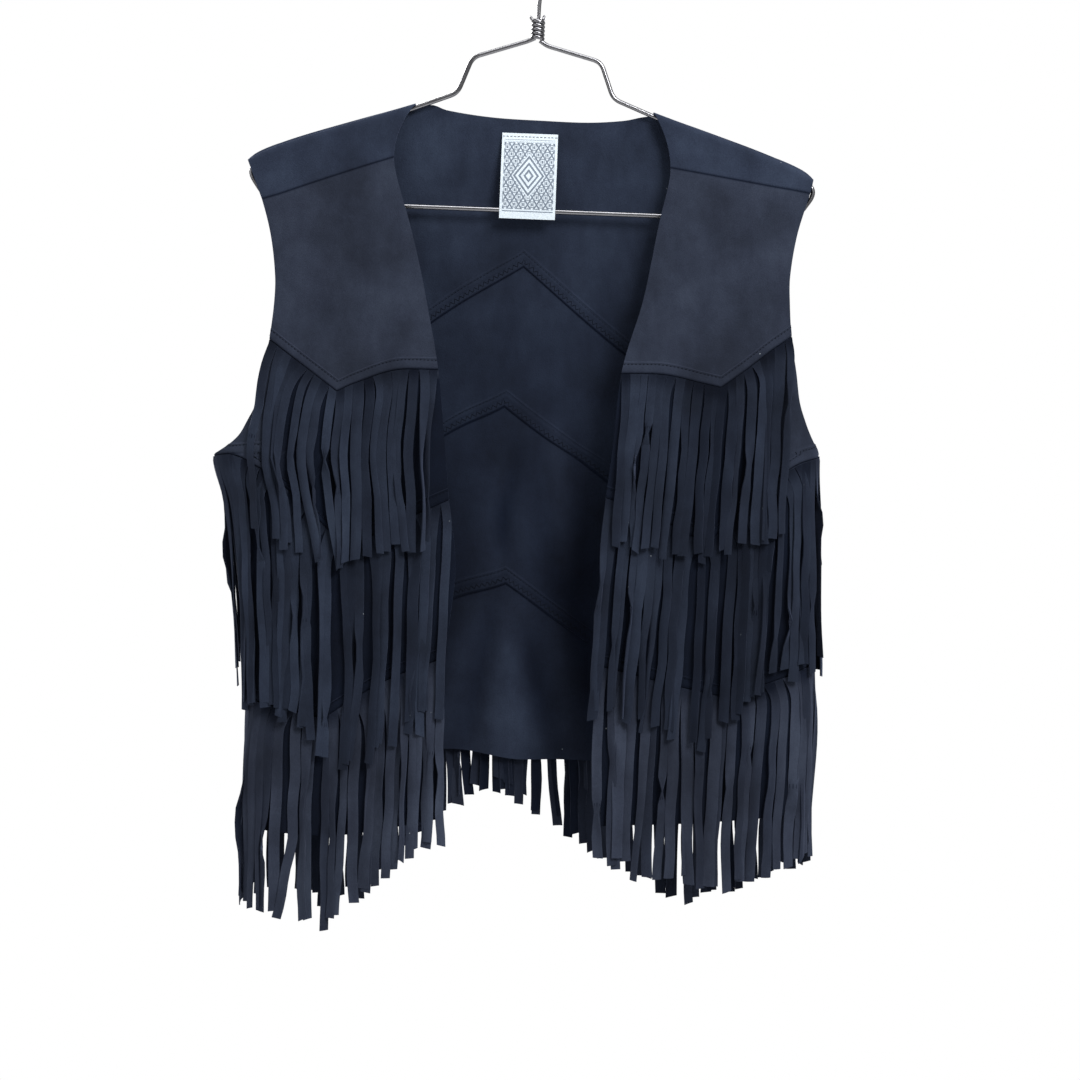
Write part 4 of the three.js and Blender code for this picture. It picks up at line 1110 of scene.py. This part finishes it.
def sweep(path, radius, sides=16, closed=False, taper=0.0):
    """A round wire along points of one upright plane, or nearly so, with rounded ends if it is open."""
    path = np.asarray(path, float)
    if not closed and taper:
        ends = [radius * (1 - math.cos(a)) for a in (math.pi / 2, math.pi / 3, math.pi / 7)]
        first, last = path[0] - path[1], path[-1] - path[-2]
        first, last = first / np.linalg.norm(first), last / np.linalg.norm(last)
        caps = [0.12, 0.55, 0.9]
        path = np.concatenate([[path[0] + first * e for e in ends], path, [path[-1] + last * e for e in ends[::-1]]])
        scale = np.concatenate([caps, np.ones(len(path) - 6), caps[::-1]])
    else:
        scale = np.ones(len(path))
    if closed:
        along = np.roll(path, -1, 0) - np.roll(path, 1, 0)
    else:
        along = np.gradient(path, axis=0)
    along /= np.linalg.norm(along, axis=1, keepdims=True)
    in_plane = np.cross(along, (0.0, 1.0, 0.0))
    in_plane /= np.linalg.norm(in_plane, axis=1, keepdims=True)
    beside = np.cross(in_plane, along)
    angle = np.arange(sides) * 2 * math.pi / sides
    ring = in_plane[:, None] * np.cos(angle)[None, :, None] + beside[:, None] * np.sin(angle)[None, :, None]
    points = (path[:, None] + ring * (radius * scale)[:, None, None]).reshape(-1, 3)
    count, faces = len(path), []
    for i in range(count if closed else count - 1):
        for j in range(sides):
            a, b = i * sides + j, i * sides + (j + 1) % sides
            c, d = ((i + 1) % count) * sides + (j + 1) % sides, ((i + 1) % count) * sides + j
            faces.append([d, c, b, a])
    if not closed:
        faces += [[j for j in range(sides)], [(count - 1) * sides + j for j in reversed(range(sides))]]
    return points, faces


def hang(points):
    """Points of the level hanger, as it hangs out of level."""
    x, z = on_hanger(points[:, 0], points[:, 2])
    return np.stack([x, points[:, 1], z], 1)


def rounded_path(corners, steps=10):
    """A path through corners, each cut to a short smooth bend of its own size."""
    path = [np.array(corners[0][:3], float)]
    for before, here, after in zip(corners, corners[1:], corners[2:]):
        at = np.array(here[:3], float)
        ends = [at + here[3] * (np.array(p[:3]) - at) / np.linalg.norm(np.array(p[:3]) - at) for p in (before, after)]
        for t in np.linspace(0, 1, steps + 1):
            path.append((1 - t) ** 2 * ends[0] + 2 * t * (1 - t) * at + t * t * ends[1])
    path.append(np.array(corners[-1][:3], float))
    return np.array(path)


def through(points, steps=8):
    """A smooth curve through points."""
    points = np.asarray(points, float)
    padded = np.concatenate([[2 * points[0] - points[1]], points, [2 * points[-1] - points[-2]]])
    path = []
    for p0, p1, p2, p3 in zip(padded, padded[1:], padded[2:], padded[3:]):
        for t in np.arange(steps) / steps:
            path.append(0.5 * (2 * p1 + t * (p2 - p0 + t * (2 * p0 - 5 * p1 + 4 * p2 - p3 + t * (3 * p1 - p0 - 3 * p2 + p3)))))
    return np.array(path + [points[-1]])


def frame_path():
    """The bent frame as one length of wire, whose ends run up into the collar."""
    arm = [(x, 0.0, z, bend) for x, z, bend in HANGER_OUTLINE[1:]]
    left = [(-x, y, z, bend) for x, y, z, bend in arm]
    corners = [(-1.9, 0.0, -106.2, 0), (-7.5, 0.0, -108.9, 3), *left, *arm[::-1], (7.5, 0.0, -112.0, 3), (1.9, 0.0, -108.2, 0)]
    return rounded_path(corners)


def hook_path():
    centre = HOOK_WIRE_RADIUS - HOOK_RADIUS
    stem = [(0, 0, COLLAR_BOTTOM + 4), (0, 0, COLLAR_TOP + 0.3), (0.6, 0, COLLAR_TOP + 14), (3, 0, COLLAR_TOP + 27)]
    angles = np.radians(np.linspace(-52, 208, 19))
    arc = [(HOOK_RADIUS * math.cos(a), 0, centre + HOOK_RADIUS * math.sin(a)) for a in angles]
    return through(stem + arc)


# Sizes and colours that a user would change


def size_prop(name, description, default, low=0.0, high=1.0):
    return bpy.props.FloatProperty(
        name=name, description=description, default=default, min=low, max=high, subtype="DISTANCE", unit="LENGTH", precision=5
    )


def colour_prop(name, description, sRGB):
    return bpy.props.FloatVectorProperty(
        name=name, description=description, default=linear(sRGB), subtype="COLOR", size=3, min=0.0, max=1.0
    )


class VestSizes(bpy.types.PropertyGroup):
    suede_colour: colour_prop("Suede colour", "Colour of the faux suede in full light", (27, 31, 41))
    # The next three scale copies of the suede: the fringe's is darker, painted shade; the lowest fringe's lighter,
    # painted light; the back's, also turned bluer, painted shade
    fringe_shade: bpy.props.FloatProperty(name="Fringe shade", description="Brightness of the fringe beside the panels", default=0.66, min=0.2, max=2)
    low_fringe_shade: bpy.props.FloatProperty(name="Low fringe shade", description="Brightness of the lowest fringe", default=1.08, min=0.2, max=2)
    back_shade: bpy.props.FloatProperty(name="Back shade", description="Brightness of the back beside the fronts", default=0.98, min=0.2, max=2)
    thread_colour: colour_prop("Thread colour", "Colour of the topstitching", (6, 8, 14))
    wire_colour: colour_prop("Wire colour", "Colour of the hanger's plating", (107, 107, 110))
    label_colour: colour_prop("Label colour", "Ground of the woven label", (162, 171, 178))
    label_pattern_colour: colour_prop("Label pattern colour", "Pattern of the woven label", (36, 48, 64))
    floor_colour: colour_prop("Floor colour", "Colour of the studio floor", (244, 244, 244))
    strand_pitch: size_prop("Strand pitch", "Distance between strands along their seam", 0.0071, 0.003, 0.03)
    edge_stand: size_prop("Turned edge stand", "How far the turned edges stand above the cloth", 0.0009, 0, 0.002)
    allowance_stand: size_prop("Seam allowance stand", "How far the seam allowances stand inside", 0.00075, 0, 0.002)
    stitch_spacing: size_prop("Stitch spacing", "Distance from one topstitch to the next", 0.0029, 0.0005, 0.01)
    stitch_thickness: size_prop("Thread thickness", "Thickness of the sewing thread", 0.0006, 0.0001, 0.002)
    key_power: bpy.props.FloatProperty(name="Key light", description="Power of the key light in watts", default=120, min=0, max=1000)
    sky_level: bpy.props.FloatProperty(name="Sky level", description="Light from the white surround", default=0.5, min=0, max=10)


# Pieces

PANELS = (("yoke", "shoulder", "yoke", 34), ("chest", "yoke", "chest", 28), ("waist", "chest", "waist", 28), ("skirt", "waist", "hem", 28))


class VEST_OT_fronts(bpy.types.Operator):
    """Makes the four panels of each front"""

    bl_idname = "vest.fronts"
    bl_label = "Fronts"

    def execute(self, context):
        sizes = context.scene.vest_sizes
        for side in SIGN:
            for name, upper, lower, rows in PANELS:
                banded = lower != "hem"
                sheet, uv, height, below = front_sheet(side, upper, lower, rows, banded)
                quads = grid_quads(*sheet.shape[:2])
                if side == "right":
                    quads = quads[:, ::-1]
                outer = seam_dip(below) + (turned_edge(height, sizes.edge_stand / MM) if banded else 0)
                inner = allowance(height, sizes.allowance_stand / MM) if banded else 0.0
                points, faces = wall(sheet.reshape(-1, 3), quads, outer, inner)
                flat_uv = np.tile(uv.reshape(-1, 2), (2, 1))
                shade_and_tone = painted_seam_shade(height if banded else height + 99, below)
                shaded = shade_and_tone
                # Painted shadow darkens the cloth under the fringe, fading out just under the seam above and towards
                # the outer edge
                if name != "yoke":
                    reach = front_seam_line(side, upper, np.array([1.0]))[0][0]
                    under = smooth(below, 1, 9) * (1 - smooth(np.abs(uv[..., 0]), reach - 12, reach - 2))
                    shaded = shade_and_tone + UNDER_FRINGE_SHADE * under
                shade_and_tone = np.concatenate([shaded.ravel(), shade_and_tone.ravel()])
                piece = make_piece(f"{name}_front_{side}", points, faces, finish("suede"), flat_uv, shade_and_tone)
                fit_piece(piece, f"front_{name}_{side}")
                declare_cloth(sheet, quads)
        return {"FINISHED"}


class VEST_OT_back(bpy.types.Operator):
    """Makes the back yoke, which folds over the hanger, and the three panels below it"""

    bl_idname = "vest.back"
    bl_label = "Back"

    def execute(self, context):
        sizes = context.scene.vest_sizes
        sheet, uv, height, below, keep = back_yoke_sheet()
        quads = grid_quads(*sheet.shape[:2], keep)
        self.add("back_yoke_cloth", "back_yoke", sheet, uv, height, below, quads, sizes, True)
        for name, upper, lower, rows in PANELS[1:]:
            sheet, uv, height, below = back_sheet(upper, lower, rows, lower != "hem")
            quads = grid_quads(*sheet.shape[:2])
            self.add(f"{name}_back", f"back_{name}", sheet, uv, height, below, quads, sizes, lower != "hem")
        return {"FINISHED"}

    def add(self, name, node, sheet, uv, height, below, quads, sizes, banded):
        outer = seam_dip(below) + (turned_edge(height, sizes.edge_stand / MM) if banded else 0)
        inner = allowance(height, sizes.allowance_stand / MM) if banded else 0.0
        points, faces = wall(sheet.reshape(-1, 3), quads, outer, inner)
        seams = painted_seam_shade(height if banded else height + 99, below)
        # Painted light on the ridges of the folds and creases, painted shade in their hollows
        raised = CREASE_SHADE * relief(BACK_FOLDS, BACK_CREASES, sheet[..., 0], -sheet[..., 2])
        # Painted shade darkens the reverse of the cloth, most of all low in the hollow
        reverse = seams - raised + np.interp(-sheet[..., 2], *REVERSE_SHADE)
        shade_and_tone = np.concatenate([(seams + raised).ravel(), reverse.ravel()])
        piece = make_piece(name, points, faces, finish("back_suede"), np.tile(uv.reshape(-1, 2), (2, 1)), shade_and_tone)
        fit_piece(piece, node)
        declare_cloth(sheet, quads)


class VEST_OT_fringe(bpy.types.Operator):
    """Makes the three tiers of cut strands on both fronts and on the back"""

    bl_idname = "vest.fringe"
    bl_label = "Fringe"

    def execute(self, context):
        pitch = context.scene.vest_sizes.strand_pitch / MM
        for seed, (tier_name, tier) in enumerate(TIERS.items()):
            for side in SIGN:
                self.add(
                    f"{tier_name}_fringe_{side}",
                    f"fringe_{tier_name}_{side}",
                    lambda g, d, side=side: on_front(side, g, d),
                    lambda p, side=side, seam=tier_name: front_seam_line(side, seam, p),
                    (0.0, VALLEY["front"], 1.0),
                    tier,
                    lambda place, side=side, lengths=STRAND_LENGTHS[tier_name]: np.interp(
                        place, lengths["place"], lengths[side]
                    ),
                    lambda place, side=side: np.interp(place, *FRINGE_SHADE[side]),
                    -SIGN[side],
                    lambda g, d, side=side: side_seam_girth(side, d),
                    11 + 7 * seed + (side == "right"),
                    pitch,
                )
            self.add(
                f"{tier_name}_fringe_back",
                f"fringe_{tier_name}_back",
                on_back,
                lambda p, seam=tier_name: back_seam_line(seam, p),
                (-1.0, -VALLEY["back"], 0.0, VALLEY["back"], 1.0),
                {**tier, "stray": 2.0},
                lambda place, tier=tier: tier["length"],
                lambda place: 0.0,
                1,
                lambda g, d: side_seam_girth("left" if g < 0 else "right", d),
                61 + seed,
                pitch,
            )
        return {"FINISHED"}

    def add(self, name, node, surface, line, stops, tier, *rest):
        points, faces, uv, shade_and_tone, area, wide, longest = make_strands(surface, line, stops, tier, *rest)
        # The lowest tier takes the copy of the suede painted lighter, the others the copy painted darker
        suede = "low_fringe_suede" if "waist" in name else "fringe_suede"
        piece = make_piece(name, points, faces, finish(suede), uv, shade_and_tone)
        fit_piece(piece, node)
        girth, drop = line(np.linspace(stops[0], stops[-1], 400))


class VEST_OT_stitches(bpy.types.Operator):
    """Sews the topstitching of the turned edges, and the rows inside the back"""

    bl_idname = "vest.stitches"
    bl_label = "Stitching"

    def execute(self, context):
        sizes = context.scene.vest_sizes
        outside = CLOTH / 2 + 0.55 * sizes.edge_stand / MM + 0.1
        inside = CLOTH / 2 + 0.5 * sizes.allowance_stand / MM + 0.1
        over = CLOTH / 2 + sizes.allowance_stand / MM + 0.08
        rows = {"edge": [], "allowance": [], "overlock": []}
        for seam in TIERS:
            for side in SIGN:
                place = spread(0.004, 60, VALLEY["front"], 90, 0.996)
                for kind, lift, stand in (("edge", 6.9, outside), ("allowance", 10.8, -inside), ("overlock", 4.2, -over)):
                    girth, drop = front_seam_line(side, seam, place, lift)
                    rows[kind].append(sewn_line(lambda g, d: on_front(side, g, d), girth, drop, stand))
            place = spread(-0.996, 90, -VALLEY["back"], 90, 0, 90, VALLEY["back"], 90, 0.996)
            for kind, lift, stand in (("edge", 6.9, outside), ("allowance", 10.8, -inside), ("overlock", 4.2, -over)):
                girth, drop = back_seam_line(seam, place, lift)
                rows[kind].append(sewn_line(on_back, girth, drop, stand))
        laid = {
            "edge": (sizes.stitch_spacing, sizes.stitch_spacing * 0.54, 0.0, 3),
            "allowance": (sizes.stitch_spacing, sizes.stitch_spacing * 0.72, 0.0, 5),
            "overlock": (sizes.stitch_spacing * 0.75, 0.0042, 1.4, 8),
        }
        for kind, lines in rows.items():
            spacing, length, slant, seed = laid[kind]
            piece = grow(
                f"{kind}_stitches",
                line_mesh(kind, lines),
                stitch_tree(),
                Spacing=spacing,
                Length=length,
                Thickness=sizes.stitch_thickness * (1.0 if kind == "edge" else 0.7),
                Slant=slant,
                Seed=seed,
                Material=finish("thread"),
            )
            fit_piece(piece, None)
        return {"FINISHED"}


class VEST_OT_label(bpy.types.Operator):
    """Makes the woven label in the back of the neck and its row of stitches"""

    bl_idname = "vest.label"
    bl_label = "Label"

    def execute(self, context):
        sizes = context.scene.vest_sizes
        behind = float(back_point(LABEL_SIZE["x"] - CENTRE, LABEL_SIZE["drop"])[1])
        top_y = behind - CLOTH / 2 - 0.3 - LABEL / 2
        bar_y = -WIRE_RADIUS - 0.3 - LABEL / 2
        bar_drop = -on_hanger(LABEL_SIZE["x"], -BAR_DROP)[1]
        bar_share = (bar_drop - LABEL_SIZE["drop"]) / LABEL_SIZE["length"]

        def point(across, along, stand=0.0):
            bend = np.sin(math.pi / 2 * np.clip(along / (0.85 * bar_share), 0, 1))
            c, s = math.cos(HANGER_TILT), math.sin(HANGER_TILT)
            x = LABEL_SIZE["x"] + across * c - along * LABEL_SIZE["length"] * s
            z = -along * LABEL_SIZE["length"] * c - across * s - LABEL_SIZE["drop"]
            curl = 0.35 * (across / 21.5) ** 2 * smooth(along, 0.75, 1) + 0.25 * np.sin(9 * along + across / 6) * smooth(along, 0, 0.2)
            return np.stack([x, mix(top_y, bar_y, bend) - curl * smooth(along, 0, 0.3) - stand, z], -1)

        rows, cols = 45, 29
        along, across = np.meshgrid(np.linspace(0, 1, rows), np.linspace(0.5, -0.5, cols) * LABEL_SIZE["width"], indexing="ij")
        sheet = point(across, along)
        uv = np.stack([across, (0.5 - along) * LABEL_SIZE["length"]], -1).reshape(-1, 2)
        quads = grid_quads(rows, cols)
        points, faces = wall(sheet.reshape(-1, 3), quads, thickness=0.7)
        piece = make_piece("label_cloth", points, faces, finish("woven_label"), np.tile(uv, (2, 1)))
        fit_piece(piece, "neck_label")
        width = np.linspace(-0.47, 0.47, 40) * LABEL_SIZE["width"]
        line = point(width, np.full(40, 2.6 / LABEL_SIZE["length"]), 0.45)
        side = np.tile((0.0, 0.0, 1.0), (40, 1))
        sewn = grow(
            "label_stitches",
            line_mesh("label_line", [(line, side)]),
            stitch_tree(),
            Spacing=0.0027,
            Length=0.0021,
            Thickness=0.0006,
            Slant=0.0,
            Seed=4,
            Material=finish("label_thread"),
        )
        fit_piece(sewn, None)
        return {"FINISHED"}


class VEST_OT_hanger(bpy.types.Operator):
    """Makes the wire hanger: its bent frame, its hook and the wound collar between them"""

    bl_idname = "vest.hanger"
    bl_label = "Hanger"

    def execute(self, context):
        wire = finish("plated_wire")
        points, faces = sweep(frame_path(), WIRE_RADIUS, 20)
        fit_piece(make_piece("hanger_wire", hang(points), faces, wire), "hanger_frame")
        points, faces = sweep(hook_path(), HOOK_WIRE_RADIUS, 20, taper=1)
        fit_piece(make_piece("hook_wire", hang(points), faces, wire), "hanger_hook")
        height = COLLAR_TOP - COLLAR_BOTTOM - 2 * HOOK_WIRE_RADIUS
        base_x, base_z = on_hanger(0.0, COLLAR_BOTTOM + HOOK_WIRE_RADIUS)
        collar = grow(
            "wound_collar",
            bpy.data.meshes.new("wound_collar"),
            collar_tree(),
            Turns=5.0,
            Coil_Radius=0.0038,
            Height=height * MM,
            Wire_Radius=HOOK_WIRE_RADIUS * MM,
            Base=(base_x * MM, 0.0, base_z * MM),
            Lean=HANGER_TILT,
            Material=wire,
        )
        fit_piece(collar, "hanger_collar")
        stubs = ([(-2.5, -2.6, -94.0), (-4.6, -1.6, -92.6), (-6.0, -0.8, -90.4)], [(2.4, -3.0, -94.4), (3.6, -3.0, -92.4), (4.3, -2.6, -89.8)])
        for number, stub in enumerate(stubs):
            points, faces = sweep(through(stub), 1.1, 12, taper=1)
            fit_piece(make_piece(f"collar_end_{number + 1}", hang(points), faces, wire), None)
        return {"FINISHED"}


class VEST_OT_stage(bpy.types.Operator):
    """Sets the camera, the soft studio lights and the pale floor"""

    bl_idname = "vest.stage"
    bl_label = "Studio stage"

    def execute(self, context):
        scene, sizes = context.scene, context.scene.vest_sizes
        camera = bpy.data.objects.new("camera", bpy.data.cameras.new("camera"))
        camera.location = (-0.0023, -2.2, -0.4928)
        camera.rotation_euler = (math.pi / 2, 0, 0)
        camera.data.lens, camera.data.sensor_width = 95.2, 36.0
        camera.data.clip_end = 50
        scene.collection.objects.link(camera)
        scene.camera = camera
        for name, place, aim, size, power in (
            ("key", (1.2, -1.9, 1.1), (0.0, 0, -0.4), 1.0, sizes.key_power),
            ("top", (0.1, -0.5, 1.5), (0.0, 0, -0.3), 1.2, sizes.key_power * 0.35),
            ("fill", (-2.2, -1.6, 0.1), (0.0, 0, -0.5), 1.6, sizes.key_power * 0.14),
            ("back_key", (-1.2, 2.2, 0.9), (0.0, 0, -0.5), 1.4, sizes.key_power * 0.8),
        ):
            light = bpy.data.lights.new(name, "AREA")
            light.energy, light.size = power, size
            lamp = bpy.data.objects.new(name, light)
            lamp.location = place
            way = [a - p for a, p in zip(aim, place)]
            lamp.rotation_euler = Vector(way).to_track_quat("-Z", "Y").to_euler()
            scene.collection.objects.link(lamp)
        world = bpy.data.worlds.new("surround")
        world.use_nodes = True
        background = world.node_tree.nodes["Background"]
        background.inputs["Color"].default_value = (1, 1, 1, 1)
        seen = world.node_tree.nodes.new("ShaderNodeLightPath").outputs["Is Camera Ray"]
        level = world.node_tree.nodes.new("ShaderNodeMapRange")
        level.inputs["To Min"].default_value, level.inputs["To Max"].default_value = sizes.sky_level, 1.0
        world.node_tree.links.new(seen, level.inputs["Value"])
        world.node_tree.links.new(level.outputs["Result"], background.inputs["Strength"])
        scene.world = world
        scene.view_settings.view_transform = "Standard"
        form = bmesh.new()
        bmesh.ops.create_circle(form, cap_ends=True, segments=96, radius=2.4)
        bmesh.ops.translate(form, verts=form.verts, vec=(0, 0, -1.5))
        mesh = bpy.data.meshes.new("floor")
        form.to_mesh(mesh)
        form.free()
        floor = bpy.data.objects.new("floor", mesh)
        floor.data.materials.append(finish("pale_floor"))
        scene.collection.objects.link(floor)
        return {"FINISHED"}


OPERATORS = (VEST_OT_stage, VEST_OT_hanger, VEST_OT_back, VEST_OT_fronts, VEST_OT_fringe, VEST_OT_stitches, VEST_OT_label)


class VEST_PT_panel(bpy.types.Panel):
    """Lists the vest's pieces in the order they are made"""

    bl_idname = "VEST_PT_panel"
    bl_label = "Fringe Vest"
    bl_space_type = "VIEW_3D"
    bl_region_type = "UI"
    bl_category = "Fringe Vest"

    def draw(self, context):
        for key in VestSizes.__annotations__:
            self.layout.prop(context.scene.vest_sizes, key)
        for operator in OPERATORS:
            self.layout.operator(operator.bl_idname)


def register():
    for kind in (VestSizes, *OPERATORS, VEST_PT_panel):
        bpy.utils.register_class(kind)
    bpy.types.Scene.vest_sizes = bpy.props.PointerProperty(type=VestSizes)


def unregister():
    del bpy.types.Scene.vest_sizes
    for kind in (VEST_PT_panel, *reversed(OPERATORS), VestSizes):
        bpy.utils.unregister_class(kind)


def main():
    register()
    bpy.ops.vest.stage()
    bpy.ops.vest.hanger()
    bpy.ops.vest.back()
    bpy.ops.vest.fronts()
    bpy.ops.vest.fringe()
    bpy.ops.vest.stitches()
    bpy.ops.vest.label()


if __name__ == "__main__":
    main()
